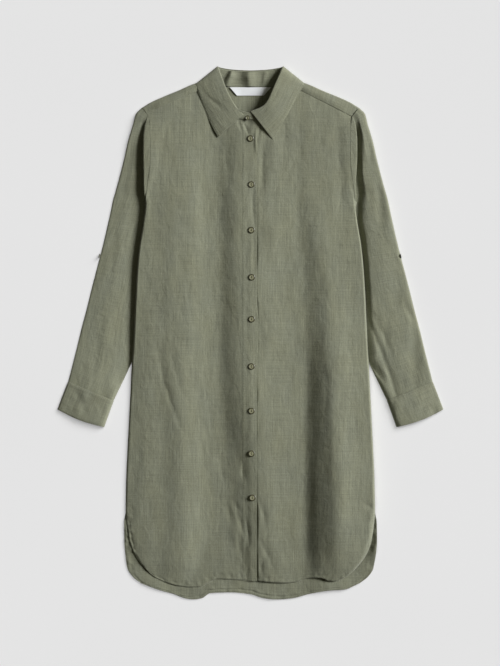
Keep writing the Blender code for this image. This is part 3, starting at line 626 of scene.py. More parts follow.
@dataclass
class Patch:
    """A piece of cloth as rows of points, with each point's place in the weave."""

    points: Array
    weave: Array

    def raised(self, height: float) -> Array:
        """The patch's points moved out along its normals, which face up on average.

        Args:
            height: How far out.

        Returns:
            The moved points.
        """
        down = np.gradient(self.points, axis=0)
        across = np.gradient(self.points, axis=1)
        facing = np.cross(across, down)
        facing = facing / np.maximum(np.linalg.norm(facing, axis=2, keepdims=True), 1e-9)
        if facing[..., 2].mean() < 0:
            facing = -facing
        return self.points + facing * height

    def edged(self, margin: float = 0.12) -> "Patch":
        """The patch with one more row close inside each edge, so that its edges shade crisply.

        Args:
            margin: How far inside.

        Returns:
            The new patch.
        """
        points, weave = self.points, self.weave
        for turn in range(4):
            length = np.linalg.norm(points[1] - points[0], axis=-1, keepdims=True)
            share = np.minimum(margin / np.maximum(length, 1e-6), 0.5)
            points, weave = (
                np.concatenate([old[:1], old[:1] + (old[1:2] - old[:1]) * share, old[1:]])[::-1]
                for old in (points, weave)
            )
            if turn % 2:
                points, weave = points.transpose(1, 0, 2), weave.transpose(1, 0, 2)
        return Patch(points, weave)

    def area(self) -> float:
        """Area of the cloth in square metres.

        Returns:
            The area.
        """
        down = np.diff(self.points, axis=0)[:, :-1]
        across = np.diff(self.points, axis=1)[:-1]
        return float(np.linalg.norm(np.cross(down, across), axis=2).sum()) * MM * MM


def woven(points: Array, origin: Span = (0.0, 0.0)) -> Patch:
    """A patch whose place in the weave is its own running lengths across and down.

    Args:
        points: Rows of points.
        origin: Where the piece was cut from the cloth, so that no two pieces match.

    Returns:
        The patch.
    """
    across, down = np.zeros(points.shape[:2]), np.zeros(points.shape[:2])
    across[:, 1:] = np.cumsum(steps(points, 1), axis=1)
    across -= across.mean(axis=1, keepdims=True)
    down[1:] = np.cumsum(steps(points), axis=0)
    down = np.broadcast_to(down.mean(axis=1, keepdims=True), down.shape)
    return Patch(points, np.stack([across + origin[0], -down + origin[1]], axis=-1))


def as_cut(points: Array, origin: Span) -> Patch:
    """A patch whose weave runs straight along the tunic, as a laid panel's does."""
    return Patch(points, points[..., :2] + np.array(origin))


def mesh_from(bm: bmesh.types.BMesh, name: str) -> Mesh:
    """Make a mesh of what a builder holds, with its faces turned outward, and free it.

    Args:
        bm: The builder.
        name: The mesh's name.

    Returns:
        The mesh.
    """
    bmesh.ops.recalc_face_normals(bm, faces=bm.faces)
    mesh = bpy.data.meshes.new(name)
    bm.to_mesh(mesh)
    bm.free()
    return mesh


def in_scene(name: str, data: bpy.types.ID) -> Object:
    """Make an object of a mesh, a light or a camera, and put it in the scene.

    Args:
        name: The object's name.
        data: The mesh, light or camera.

    Returns:
        The object.
    """
    made = bpy.data.objects.new(name, data)
    bpy.context.scene.collection.objects.link(made)
    return made


def shade_smooth(mesh: Mesh) -> None:
    """Shade every face of a mesh smooth."""
    for poly in mesh.polygons:
        poly.use_smooth = True


def evaluated(made: Object) -> Mesh:
    """A plain mesh of what an object's modifiers make of it.

    Args:
        made: The object.

    Returns:
        The mesh.
    """
    graph = bpy.context.evaluated_depsgraph_get()
    graph.update()
    return bpy.data.meshes.new_from_object(made.evaluated_get(graph))


def place(made: Object, node: str | None, slot: str) -> Object:
    """Ride a piece on the tunic and hide the node it stands for.

    Args:
        made: The piece.
        node: The node it stands for, if any.
        slot: The name of its finish; not used.

    Returns:
        The piece.
    """
    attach(made, "root")
    if node:
        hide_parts(node)
    return made


@dataclass
class Piece:
    """A finished piece: its patches, its wall, its finish and what it stands for."""

    name: str
    node: str
    patches: list[Patch]
    finish: Material
    flat: tuple[float, float]
    rests_on: tuple[str, ...]
    wall: float = WALL
    slot: str = "linen"
    least_cut: float = 0.31
    weld: float = 0.02

    def build(self) -> Object:
        """Make the piece's object, ride it on the tunic and put it in its node's place.

        Returns:
            The object.
        """
        bm = bmesh.new()
        grain = bm.loops.layers.uv.new("weave")
        for patch in self.patches:
            patch = patch.edged() if len(self.patches) == 1 else patch
            lines, columns = patch.points.shape[:2]
            verts = [bm.verts.new(p) for p in (patch.points.reshape(-1, 3) * MM).tolist()]
            weave = (patch.weave.reshape(-1, 2) * MM).tolist()
            for corner in (i * columns + j for i in range(lines - 1) for j in range(columns - 1)):
                ids = (corner, corner + 1, corner + columns + 1, corner + columns)
                face = bm.faces.new([verts[k] for k in ids])
                face.smooth = True
                for loop, k in zip(face.loops, ids):
                    loop[grain].uv = weave[k]
        if len(self.patches) > 1:
            bmesh.ops.remove_doubles(bm, verts=bm.verts, dist=self.weld * MM)
        mesh = mesh_from(bm, self.name)
        mesh.materials.append(self.finish)
        made = in_scene(self.name, mesh)
        solid = made.modifiers.new("wall", "SOLIDIFY")
        solid.thickness = self.wall * MM
        solid.offset = 0.0
        solid.use_quality_normals = True
        place(made, self.node, self.slot)
        area = sum(patch.area() for patch in self.patches)
        list(self.rests_on)
        LOG.info("%s: %d faces", self.name, len(mesh.polygons))
        return made


class Weave:
    """A small builder of shader nodes, so that finishes read as lists of what they hold."""

    def __init__(self, name: str) -> None:
        """Start a material with a Principled shader and the place in the weave.

        Args:
            name: The material's name.
        """
        self.material = bpy.data.materials.new(name)
        self.material.use_nodes = True
        self.tree = self.material.node_tree
        self.shader = self.tree.nodes["Principled BSDF"]
        self.place = self.add("ShaderNodeUVMap", uv_map="weave").outputs["UV"]

    def fill(self, socket: NodeSocket, value: object) -> None:
        """Give a socket its value, or link it to the socket that the value comes from.

        Args:
            socket: The input.
            value: A number, a colour or an output.
        """
        if isinstance(value, NodeSocket):
            self.tree.links.new(value, socket)
        else:
            socket.default_value = (*value, 1.0) if socket.type == "RGBA" else value

    def add(self, kind: str, inputs: dict | None = None, **settings: object) -> bpy.types.Node:
        """Add a node, with its settings, its inputs' values and its links.

        Args:
            kind: The node's type.
            inputs: Values or outputs, by input.
            **settings: The node's own options.

        Returns:
            The node.
        """
        made = self.tree.nodes.new(kind)
        for key, value in settings.items():
            setattr(made, key, value)
        for key, value in (inputs or {}).items():
            self.fill(made.inputs[key], value)
        return made

    def noise(self, scale: Span, detail: float, roughness: float, bend: float = 0.0) -> NodeSocket:
        """Noise over the weave, stretched by its scales across and along the grain."""
        mapped = self.add("ShaderNodeMapping", {"Vector": self.place, "Scale": (*scale, 1.0)})
        return self.add("ShaderNodeTexNoise", {
            "Vector": mapped.outputs[0], "Scale": 1.0, "Detail": detail,
            "Roughness": roughness, "Distortion": bend,
        }, noise_dimensions="2D").outputs[0]

    def grain(self, scale: float, detail: float) -> NodeSocket:
        """Even noise over the object's own space.

        Args:
            scale: Cells per metre.
            detail: Its finer layers.

        Returns:
            The noise.
        """
        spot = self.add("ShaderNodeTexCoord").outputs["Object"]
        values = {"Vector": spot, "Scale": scale, "Detail": detail}
        return self.add("ShaderNodeTexNoise", values).outputs[0]

    def axis(self, index: int) -> NodeSocket:
        """One axis of the place in the weave."""
        return self.add("ShaderNodeSeparateXYZ", {0: self.place}).outputs[index]

    def math(self, operation: str, *values: object) -> NodeSocket:
        """The result of a sum over sockets and numbers."""
        return self.add("ShaderNodeMath", dict(enumerate(values)), operation=operation).outputs[0]

    def blend(self, *parts: tuple[NodeSocket, float]) -> NodeSocket:
        """The sum of some values, each by its own share.

        Args:
            *parts: Each value and its share.

        Returns:
            The sum.
        """
        total, *others = (self.math("MULTIPLY", value, share) for value, share in parts)
        for other in others:
            total = self.math("ADD", total, other)
        return total

    def span(self, value: NodeSocket, low: float, high: float,
             to_low: float = 0.0, to_high: float = 1.0) -> NodeSocket:
        """A value brought from one range to another, held at its ends."""
        return self.add("ShaderNodeMapRange", {
            "Value": value, "From Min": low, "From Max": high, "To Min": to_low, "To Max": to_high,
        }).outputs[0]

    def mix(self, share: object, one: object, two: object, blend: str = "MIX") -> NodeSocket:
        """Two colours mixed."""
        inputs = {0: share, 6: one, 7: two}
        return self.add("ShaderNodeMix", inputs, data_type="RGBA", blend_type=blend).outputs[2]

    def toned(self, colour: object, shade: NodeSocket) -> NodeSocket:
        """A colour made lighter and darker by a shade about 1."""
        grey = self.add("ShaderNodeCombineColor", {"Red": shade, "Green": shade, "Blue": shade})
        return self.mix(1.0, colour, grey.outputs[0], "MULTIPLY")

    def bump(self, height: NodeSocket, depth: float, under: NodeSocket | None = None) -> NodeSocket:
        """A bump of a real depth in metres, over the bump below it.

        Args:
            height: The pattern.
            depth: Its depth.
            under: The normal of the bump below.

        Returns:
            The normal.
        """
        values = {"Height": height, "Distance": depth, "Strength": 1.0}
        if under is not None:
            values["Normal"] = under
        return self.add("ShaderNodeBump", values).outputs[0]

    def finish(self, colour: object, normal: NodeSocket | None, **values: float) -> Material:
        """Fill in the shader.

        Args:
            colour: A colour or an output.
            normal: The bump, if any.
            **values: Its other inputs.

        Returns:
            The material.
        """
        values = {"Base Color": colour, "Normal": normal, **values}
        for key, value in values.items():
            if value is not None:
                self.fill(self.shader.inputs[key.replace("_", " ")], value)
        return self.material


@dataclass(frozen=True)
class Linen:
    """Washed linen of plain weave, its yarns slubbed and unevenly dyed, with painted shade towards
    the tail.
    """

    name: str = "washed_linen"
    colour: Colour = (0.214, 0.222, 0.161)
    warm: Colour = (1.02, 1.0, 0.91)
    cool: Colour = (0.98, 1.0, 1.06)
    light: float = 1.23
    dark: float = 0.77
    # painted shade: the colour is multiplied down to this towards the tails of the fronts and back,
    # from y 50 mm to y -480 mm
    tail: float = 0.84
    pitch: float = 0.0011
    slub: float = 0.00022
    yarn: float = 0.00006
    crumple: float = 0.0009

    def build(self) -> Material:
        """Make the material.

        Returns:
            The material.
        """
        w = Weave(self.name)
        warp = w.noise((900.0, 20.0), 2.0, 0.6)
        weft = w.noise((16.0, 900.0), 2.0, 0.6)
        fleck = w.noise((620.0, 480.0), 3.0, 0.7)
        slubbed = w.noise((210.0, 7.0), 3.0, 0.6)
        wide = w.noise((16.0, 7.0), 2.0, 0.5)
        patches = w.noise((30.0, 13.0), 2.0, 0.5)
        tone = w.blend((warp, 0.42), (weft, 0.28), (fleck, 0.30))
        shade = w.span(tone, 0.36, 0.64, self.dark, self.light)
        # the last change is painted shade, darkening the fronts and back towards their tails
        for change in (
            w.span(slubbed, 0.3, 0.7, 0.97, 1.03), w.span(wide, 0.3, 0.7, 0.96, 1.04),
            w.span(w.axis(1), -0.48, 0.05, self.tail, 1.0),
        ):
            shade = w.math("MULTIPLY", shade, change)
        dyed = w.blend((fleck, 0.7), (patches, 0.3))
        warm, cool = (
            tuple(c * k for c, k in zip(self.colour, dye)) for dye in (self.warm, self.cool)
        )
        hue = w.mix(w.span(dyed, 0.30, 0.70), warm, cool)
        rolls = w.bump(w.noise((80.0, 48.0), 3.0, 0.5, 0.3), self.crumple)
        slubs = w.bump(tone, self.slub, rolls)
        turn = 2 * math.pi / self.pitch
        waves = [w.math("SINE", w.math("MULTIPLY", w.axis(k), turn)) for k in (0, 1)]
        plain = w.bump(w.math("MULTIPLY", *waves), self.yarn, slubs)
        return w.finish(w.toned(hue, shade), plain, Roughness=0.92, Sheen_Weight=0.22,
                        Sheen_Roughness=0.5, Specular_IOR_Level=0.25)


@dataclass(frozen=True)
class SatinTape:
    """Smooth white woven tape."""

    name: str = "satin_tape"
    colour: Colour = (0.79, 0.81, 0.84)

    def build(self) -> Material:
        """Make the material.

        Returns:
            The material.
        """
        w = Weave(self.name)
        ribs = w.noise((120.0, 2400.0), 2.0, 0.6)
        colour = w.toned(self.colour, w.span(ribs, 0.3, 0.7, 0.95, 1.04))
        return w.finish(colour, w.bump(ribs, 0.00004), Roughness=0.5, Sheen_Weight=0.1,
                        Specular_IOR_Level=0.35)


@dataclass(frozen=True)
class HornResin:
    """Horn-like button resin, darker round the rim and clouded."""

    name: str = "horn_resin"
    middle: Colour = (0.290, 0.288, 0.180)
    rim: Colour = (0.058, 0.055, 0.030)

    def build(self) -> Material:
        """Make the material.

        Returns:
            The material.
        """
        w = Weave(self.name)
        across = w.add("ShaderNodeVectorMath", {0: w.place}, operation="LENGTH").outputs["Value"]
        cloud = w.span(w.noise((1.6, 1.1), 3.0, 0.6, 0.8), 0.4, 0.75, 0.0, 0.35)
        share = w.math("ADD", w.span(across, 0.60, 0.72, 0.0, 0.95), cloud)
        share = w.math("MINIMUM", share, 1.0)
        streaks = w.bump(w.noise((3.0, 9.0), 2.0, 0.5), 0.00003)
        return w.finish(w.mix(share, self.middle, self.rim), streaks, Roughness=0.36,
                        Coat_Weight=0.15, Coat_Roughness=0.3, Specular_IOR_Level=0.5)


@dataclass(frozen=True)
class SewingThread:
    """Spun sewing thread."""

    name: str
    colour: Colour

    def build(self) -> Material:
        """Make the material.

        Returns:
            The material.
        """
        w = Weave(self.name)
        colour = w.toned(self.colour, w.span(w.grain(900.0, 2.0), 0.3, 0.7, 0.8, 1.15))
        return w.finish(colour, None, Roughness=0.75, Sheen_Weight=0.2, Specular_IOR_Level=0.3)


@dataclass(frozen=True)
class StudioPaper:
    """Matt, very pale backdrop paper."""

    name: str = "studio_paper"
    colour: Colour = (0.80, 0.80, 0.80)
    paler: float = 1.01

    def build(self) -> Material:
        """Make the material.

        Returns:
            The material.
        """
        w = Weave(self.name)
        pale = tuple(c * self.paler for c in self.colour)
        colour = w.mix(w.span(w.grain(3.0, 1.0), 0.3, 0.7), self.colour, pale)
        return w.finish(colour, None, Roughness=0.95, Specular_IOR_Level=0.0)


@dataclass(frozen=True)
class BodyForm:
    """The laid body's own heights, which its panels share."""

    side_drop: float = 0.9
    side_reach: float = 200.0
    softness: float = 1.1
    right_drop: Curve = (
        (300, 0.6), (240, 2), (150, 4), (50, 6), (-100, 7.5), (-300, 8), (-440, 6),
    )
    right_side: Span = (-100.0, -205.0)
    edge_drop: float = 2.6
    edge_side: Span = (-192.0, -230.0)
    edge_start: Span = (20.0, -60.0)
    lowest: float = 2.4
    sleeve_inset: Span = (44.0, 14.0)
    sleeve_top: Span = (24.0, 2.0)
    sleeve_end: Span = (-125.0, -75.0)
    seam_side: float = 190.0
    seam_reach: float = 24.0
    waves: tuple[Crumple, ...] = (
        Crumple(3, 10.0, 50.0, 0.08), Crumple(13, 15.0, 24.0, 0.10),
        Crumple(5, 21.0, 110.0, 0.28), Crumple(8, 46.0, 60.0, 0.35),
    )

    def front(self, x: Array, y: Array) -> Array:
        """Height of the middle of the fronts' cloth, folds and all.

        Args:
            x: Places across.
            y: Places along.

        Returns:
            Heights in millimetres.
        """
        height = along(FRONT_LOFT, y)
        height = height - self.side_drop * (x / self.side_reach) ** 2
        height = height - fold_depth(FRONT_FOLDS, x, y)
        height = height - along(self.right_drop, y) * ease(*self.right_side, x)
        height = height - self.edge_drop * ease(*self.edge_side, x) * ease(*self.edge_start, y)
        height = height + sum(wave.at(x, y) for wave in self.waves)
        over = (height - self.lowest) / self.softness
        return self.lowest + self.softness * np.logaddexp(over, 0.0)

    def back(self, x: Array, y: Array) -> Array:
        """Height of the middle of the back's cloth, which rises over the sleeves' inner parts.

        Args:
            x: Places across.
            y: Places along.

        Returns:
            Heights in millimetres.
        """
        below = [row for row in SLEEVE_RINGS if row.inner_y <= UNDERARM_Y]
        fold = smooth(column(below, "inner_y"), column(below, "inner_x"), y)
        over = ease(fold - self.sleeve_inset[0], fold - self.sleeve_inset[1], abs(x))
        above = ease(UNDERARM_Y + self.sleeve_top[0], UNDERARM_Y + self.sleeve_top[1], y)
        return FLOOR + 2 * LAYER * over * above * ease(*self.sleeve_end, y)

    def seam(self, x: Array, y: Array) -> Array:
        """Height of the fronts' cloth at the yoke seam, from the armhole to the neck.

        Args:
            x: Places across.
            y: Places along.

        Returns:
            Heights in millimetres.
        """
        edge = FLOOR + read(ARMHOLE, "lift", y)
        near = ease(0.0, self.seam_reach, self.seam_side - x)
        return edge + (self.front(x, y) - edge) * near


BODY = BodyForm()


def along_edge(points: Curve, u: Array) -> Array:
    """Points on a cut edge, at shares of the way across from its first x to its last.

    Args:
        points: The edge's points.
        u: Shares of the way.

    Returns:
        The points.
    """
    table = np.array(points, float)
    x = table[0, 0] + (table[-1, 0] - table[0, 0]) * u
    order = np.argsort(table[:, 0])
    return np.stack([x, smooth(table[order, 0], table[order, 1], x)], axis=-1)


def down_edge(table: Sequence[Side], v: Array) -> Array:
    """Points down the body's outer edge, at shares of its length, half a gap in.

    Args:
        table: The edge's rows.
        v: Shares of its length.

    Returns:
        The points.
    """
    edge = np.array([(row.half - GAP / 2, row.y) for row in table])
    keys = chord(edge)
    return np.stack([smooth(keys, edge[:, 0], v), smooth(keys, edge[:, 1], v)], axis=-1)


def spread(
    width: Array, outer: Sequence[float], inner: Sequence[float], count: int
) -> Array:
    """Shares across each row: fixed steps from both ends and even ones between.

    Args:
        width: Width of each row.
        outer: Steps in from the row's start.
        inner: Steps back from the row's end, longest first.
        count: How many even steps to put between.

    Returns:
        One row of shares, from 0 to 1, for each width.
    """
    shares = []
    for wide in width:
        middle = np.linspace(outer[-1], wide - inner[0], count + 2)[1:-1]
        shares.append(np.concatenate([outer, middle, wide - np.array(inner)]) / wide)
    return np.array(shares)


def coons(
    top: Callable[[Array], Array], bottom: Callable[[Array], Array],
    outer: Array, inner: Array, u: Array, v: Array,
) -> Array:
    """Plan of a panel between its four edges.

    Args:
        top: The top edge at shares across.
        bottom: The bottom edge at shares across.
        outer: The edge where u is 0, a point for each row.
        inner: The edge where u is 1, a point for each row.
        u: Shares across, a row of them for each row.
        v: Share down of each row.

    Returns:
        Rows of plan points.
    """
    down = v[:, None, None]
    across = u[..., None]
    straight, start, end = (
        (1 - down) * top(share) + down * bottom(share)
        for share in (u, np.zeros_like(u), np.ones_like(u))
    )
    edges = straight + (1 - across) * outer[:, None] + across * inner[:, None]
    return edges - (1 - across) * start - across * end


def edge_distance(
    step: Array, inset: Array, tail: Array
) -> tuple[Array, Array]:
    """Distances of a panel's points from its cut edges.

    Args:
        step: Steps down the panel from row to row.
        inset: Distance of each point from the panel's side.
        tail: Above 0 where the side is free, below the side seam.

    Returns:
        The distance from the bottom edge, and from the nearest free edge.
    """
    below = np.concatenate([np.cumsum(step[::-1], axis=0)[::-1], np.zeros_like(step[:1])])
    return below, np.minimum(below, np.where(tail > 0.0, inset, FAR))


@dataclass
class FrontPanel:
    """One front, from its yoke seam down to the round shirt tail."""

    hand: Hand
    finish: Material
    lines: int = 330
    middle: int = 66
    lowest: float = 2.4
    over_tail: float = 1.0
    over_tail_at: Span = (-330.0, -420.0)
    outer_steps: tuple[float, ...] = (0, 0.4, 0.9, 1.5, 2.2, 3, 4, 5.2, 6.6, 8.2, 10, 12)
    lap_steps: tuple[float, float, float] = (30.0, -0.1, -1.5)
    underlap_rise: float = 0.3
    rise_at: tuple[Span, Span] = ((10.8, 15.0), (60.0, 25.0))
    gape_base: float = 0.15
    gape_depth: float = 0.9
    gape_edge: float = 12.6
    gape_widening: float = 1.4
    gape_foot: float = 10.4
    slit_depth: float = 3.6
    slit_x: Span = (15.2, 10.8)
    slit_y: Span = (-310.0, -322.0)
    slit_wave: tuple[float, float, float, float] = (0.55, 0.45, 345.0, 16.0)
    puckers: Crumple = Crumple(11, 4.6, 5.4, 0.55)
    tail_start: Span = (-318.0, -345.0)
    stitch_line: float = 6.0
    pucker_width: float = 5.0
    bottom_width: float = 14.0
    groove: Span = (0.4, 1.6)
    top_roll: Span = (0.45, 2.2)
    armhole_end: Span = (8.0, -4.0)
    hem_steps: tuple[float, ...] = (0.0, 0.5, 3.0, 6.0, 9.0)
    hem_drop: float = 1.1
    hem_round: float = 0.3
    patch: Patch | None = field(default=None, init=False)
    edge: Array | None = field(default=None, init=False)
    away: Array | None = field(default=None, init=False)

    def plan(self) -> tuple[Array, Array, Array]:
        """The panel's plan with x outward, its distances in from the side, and its edge.

        Returns:
            The plan, the distances and the outer edge.
        """
        end = YOKE_SEAM_END[self.hand]
        first = Side(end[1] - GAP, end[0], float(read(ARMHOLE, "lift", end[1])), 24)
        armhole = [row for row in ARMHOLE if row.y < end[1] - 1.0]
        table = [first, *armhole, *SIDE_SEAM, *FRONT_TAIL]
        v = np.linspace(0.0, 1.0, self.lines)
        outer = down_edge(table, v)
        right = self.hand is Hand.RIGHT
        centre = -CENTRE_EDGE if right else -UNDERLAP
        hem = HEM_RIGHT if right else HEM_LEFT
        hem = [(abs(x) if x != hem[-1][0] else centre, y) for x, y in hem]
        seam = [(x, y - GAP) for x, y in (end, *NECKLINE[:-1], (centre, NECKLINE[-1][1]))]
        inner_y = seam[-1][1] + (hem[-1][1] - seam[-1][1]) * v
        inner = np.stack([np.full_like(v, centre), inner_y], axis=-1)
        width = outer[:, 0] - centre
        u = spread(width, self.outer_steps, tuple(np.arange(*self.lap_steps)), self.middle)
        top, bottom = (lambda s, e=edge: along_edge(e, s) for edge in (seam, hem))
        plan = coons(top, bottom, outer, inner, u, v)
        lift, roll = (read(table, name, outer[:, 1]) for name in ("lift", "roll"))
        seam_z = BODY.back(outer[:, 0], outer[:, 1]) + lift
        self.edge = np.stack([outer[:, 0], outer[:, 1], seam_z, roll], axis=-1)
        return plan, u * width[:, None], outer

    def underlap(self, x: Array, y: Array) -> Array:
        """How far the left front's lap stands over the fronts' own heights, down at its gapes.

        Args:
            x: Places across.
            y: Places along.

        Returns:
            Heights in millimetres.
        """
        inner, outer = self.rise_at
        gape = along(UNDERLAP_GAPE, y)
        share, swing, crest, length = self.slit_wave
        open_slit = ease(*self.slit_y, y) * (share + swing * np.cos((y + crest) / length))
        edge = self.gape_edge + self.gape_widening * gape
        sunk = (self.gape_base + self.gape_depth * gape) * ease(edge, self.gape_foot, x)
        slit = self.slit_depth * ease(*self.slit_x, x) * open_slit
        return self.underlap_rise * ease(*inner, x) * ease(*outer, x) - sunk - slit

    def surface(self) -> Array:
        """Points of the panel, rolled down at the side and hemmed below.

        Returns:
            The points, row by row.
        """
        plan, inset, outer = self.plan()
        x, y = self.hand.value * plan[..., 0], plan[..., 1]
        height = BODY.front(x, y)
        if self.hand is Hand.LEFT:
            height = height + self.underlap(x, y)
        height = np.maximum(height, self.lowest + self.over_tail * ease(*self.over_tail_at, y))
        seam_z, roll = self.edge[:, 2:3], self.edge[:, 3:4]
        near = np.clip(inset / roll, 0.0, 1.0)
        side = ease(*(UNDERARM_Y + rise for rise in self.armhole_end), outer[:, 1:2])
        steep = np.sqrt(np.maximum(1 - (1 - near) ** 2, 0.0))
        rolled = near * near * (3 - 2 * near) * (1 - side) + steep * side
        height = seam_z + (height - seam_z) * rolled
        return self.hem(np.stack([x, y, height], axis=-1), inset)

    def hem(self, points: Array, inset: Array) -> Array:
        """Pucker the cloth along the hem's stitches and turn its bottom edge under.

        Args:
            points: Points of the panel.
            inset: Distances in from the side.

        Returns:
            The points, with the turned rows.
        """
        step = steps(points)
        tail = ease(*self.tail_start, points[..., 1])
        below, self.away = edge_distance(step, inset, tail)
        near = bell(self.away, self.stitch_line, self.pucker_width)
        near = near * np.maximum(tail, bell(below, 0.0, self.bottom_width))
        points[..., 2] += near * self.puckers.at(points[..., 0], points[..., 1])
        depth, width = self.groove
        points[..., 2] -= depth * bell(self.away, self.stitch_line, width) * tail
        depth, width = self.top_roll
        points[1:, :, 2] -= depth * bell(np.cumsum(step, axis=0), 0.0, width)
        turned = []
        for back in self.hem_steps:
            shift = points[-1] * 1.0
            shift[:, 1] += back if back else -self.hem_round
            shift[:, 2] -= self.hem_drop * (1.0 if back else 0.5)
            turned.append(shift)
        return np.concatenate([points, np.array(turned)])

    def build(self) -> Object:
        """Make the panel.

        Returns:
            The object.
        """
        self.patch = as_cut(self.surface(), (40.0 * self.hand.value, 0.0))
        word = self.hand.word
        return Piece(f"front_panel_{word}", f"front_{word}", [self.patch], self.finish,
                     flat=(0.275, 0.93), rests_on=("back",)).build()


@dataclass
class Placket:
    """The button band down the edge of the right front, made from that front's own surface."""

    finish: Material
    width: float = PLACKET_WIDTH
    lines: int = 330
    columns: int = 25
    turned: float = 0.5
    past_hem: float = 0.4
    sewn_lift: float = 0.15
    upper_lift: float = 0.45
    lift: float = 0.85
    lift_at: Span = (225.0, 170.0)
    slit_lift: float = 0.5
    slit_y: Span = (-312.0, -326.0)
    raised_x: Span = (-9.0, 3.0)
    swayed_x: Span = (-9.0, 13.0)
    patch: Patch | None = field(default=None, init=False)

    def surface(self) -> Array:
        """Points of the band, its free edge standing a little proud and its sides turned in.

        Returns:
            The points, row by row.
        """
        across = np.linspace(0.0, self.width, self.columns)
        across = np.concatenate([[-self.turned], across, [self.width + self.turned]])
        across = across - (self.width - CENTRE_EDGE)
        top, bottom = NECKLINE[-1][1] - GAP, HEM_RIGHT[-1][1] - self.past_hem
        x, y = np.meshgrid(across, np.linspace(top, bottom, self.lines))
        x = x + along(PLACKET_SWAY, y) * ease(*self.swayed_x, x)
        rise = self.sewn_lift + (self.proud(y) - self.sewn_lift) * ease(*self.raised_x, x)
        return np.stack([x, y, BODY.front(x, y) + rise], axis=-1)

    def proud(self, y: Array) -> Array:
        """How far the band stands over the front's own cloth, less above its third button."""
        lift = self.upper_lift + (self.lift - self.upper_lift) * ease(*self.lift_at, y)
        return lift + self.slit_lift * ease(*self.slit_y, y)

    def height(self, x: float, y: float) -> float:
        """Height of the band's middle surface at one place."""
        at_x, at_y = np.array([[float(x)]]), np.array([[float(y)]])
        return float((BODY.front(at_x, at_y) + self.proud(at_y))[0, 0])

    def build(self) -> Object:
        """Make the band."""
        self.patch = as_cut(self.surface(), (0.0, 700.0))
        return Piece("button_band", "placket", [self.patch], self.finish,
                     flat=(0.031, 0.88), rests_on=("front_panel_right",)).build()


@dataclass
class BackPanel:
    """The back, flat on the surface, with its longer round tail."""

    finish: Material
    lines: int = 210
    crowding: float = 1.25
    middle: int = 66
    side_steps: tuple[float, ...] = (0, 0.8, 2, 4, 7, 11, 16, 22, 30, 38, 46, 54, 61, 70, 80)
    tail_start: Span = (-330.0, -350.0)
    free_at: Span = (60.0, 8.0)
    tail_rise: float = 1.3
    waves: tuple[Crumple, ...] = (Crumple(23, 30.0, 26.0, 0.7), Crumple(24, 13.0, 17.0, 0.3))
    puckers: Crumple = Crumple(17, 5.0, 6.0, 0.8)
    pucker_line: Span = (6.0, 5.0)
    groove: Span = (6.5, 1.5)
    groove_depth: float = 1.0
    curl: float = 5.2
    curl_x: Span = (0.0, 11.0)
    curl_end: Span = (-432.0, -400.0)
    curl_shift: float = 0.9
    slump: float = 1.5
    slump_x: tuple[Span, Span] = ((-15.0, 2.0), (60.0, 20.0))
    patch: Patch | None = field(default=None, init=False)
    away: Array | None = field(default=None, init=False)

    def surface(self) -> Array:
        """Points of the back, its tail lifting a little in soft waves beyond the fronts.

        Returns:
            The points, row by row.
        """
        top = Side(BACK_YOKE_SEAM_Y - GAP, YOKE_HALF)
        table = [top, *[row for row in ARMHOLE if row.y < top.y], *SIDE_SEAM, *BACK_TAIL]
        v = 1 - (1 - np.linspace(0.0, 1.0, self.lines)) ** self.crowding
        outer = down_edge(table, v)
        u = spread(2 * outer[:, 0], self.side_steps, self.side_steps[::-1], self.middle)
        half = YOKE_HALF - GAP / 2
        plan = coons(
            lambda s: along_edge([(-half, top.y), (half, top.y)], s),
            lambda s: along_edge(BACK_HEM, s), outer * np.array([-1.0, 1.0]), outer, u, v,
        )
        x, y = plan[..., 0], plan[..., 1]
        height = BODY.back(x, y)
        tail = ease(*self.tail_start, y)
        inset = np.minimum(u, 1 - u) * 2 * outer[:, :1]
        self.away = edge_distance(steps(plan), inset, tail)[1]
        free = ease(*self.free_at, self.away) * tail
        lifted = self.tail_rise + np.abs(sum(wave.at(x, y) for wave in self.waves))
        height = height + free * lifted
        height = height + tail * bell(self.away, *self.pucker_line) * np.abs(self.puckers.at(x, y))
        height = height - self.groove_depth * bell(self.away, *self.groove) * tail
        front_edge = read(FRONT_TAIL, "half", y)
        curl = ease(*self.curl_x, x - front_edge) * tail * ease(*self.curl_end, y)
        inner, outer_side = self.slump_x
        slump = ease(*inner, x + front_edge) * ease(*outer_side, x + front_edge) * tail
        height = height + self.curl * curl + self.slump * slump
        height = height - fold_depth(BACK_FOLDS, x, y) * free
        return np.stack([x + self.curl_shift * curl, y, height], axis=-1)

    def build(self) -> Object:
        """Make the back."""
        self.patch = as_cut(self.surface(), (900.0, 0.0))
        return Piece("back_panel", "back", [self.patch], self.finish, flat=(0.48, 0.85),
                     rests_on=("sleeve_cloth_right", "sleeve_cloth_left")).build()


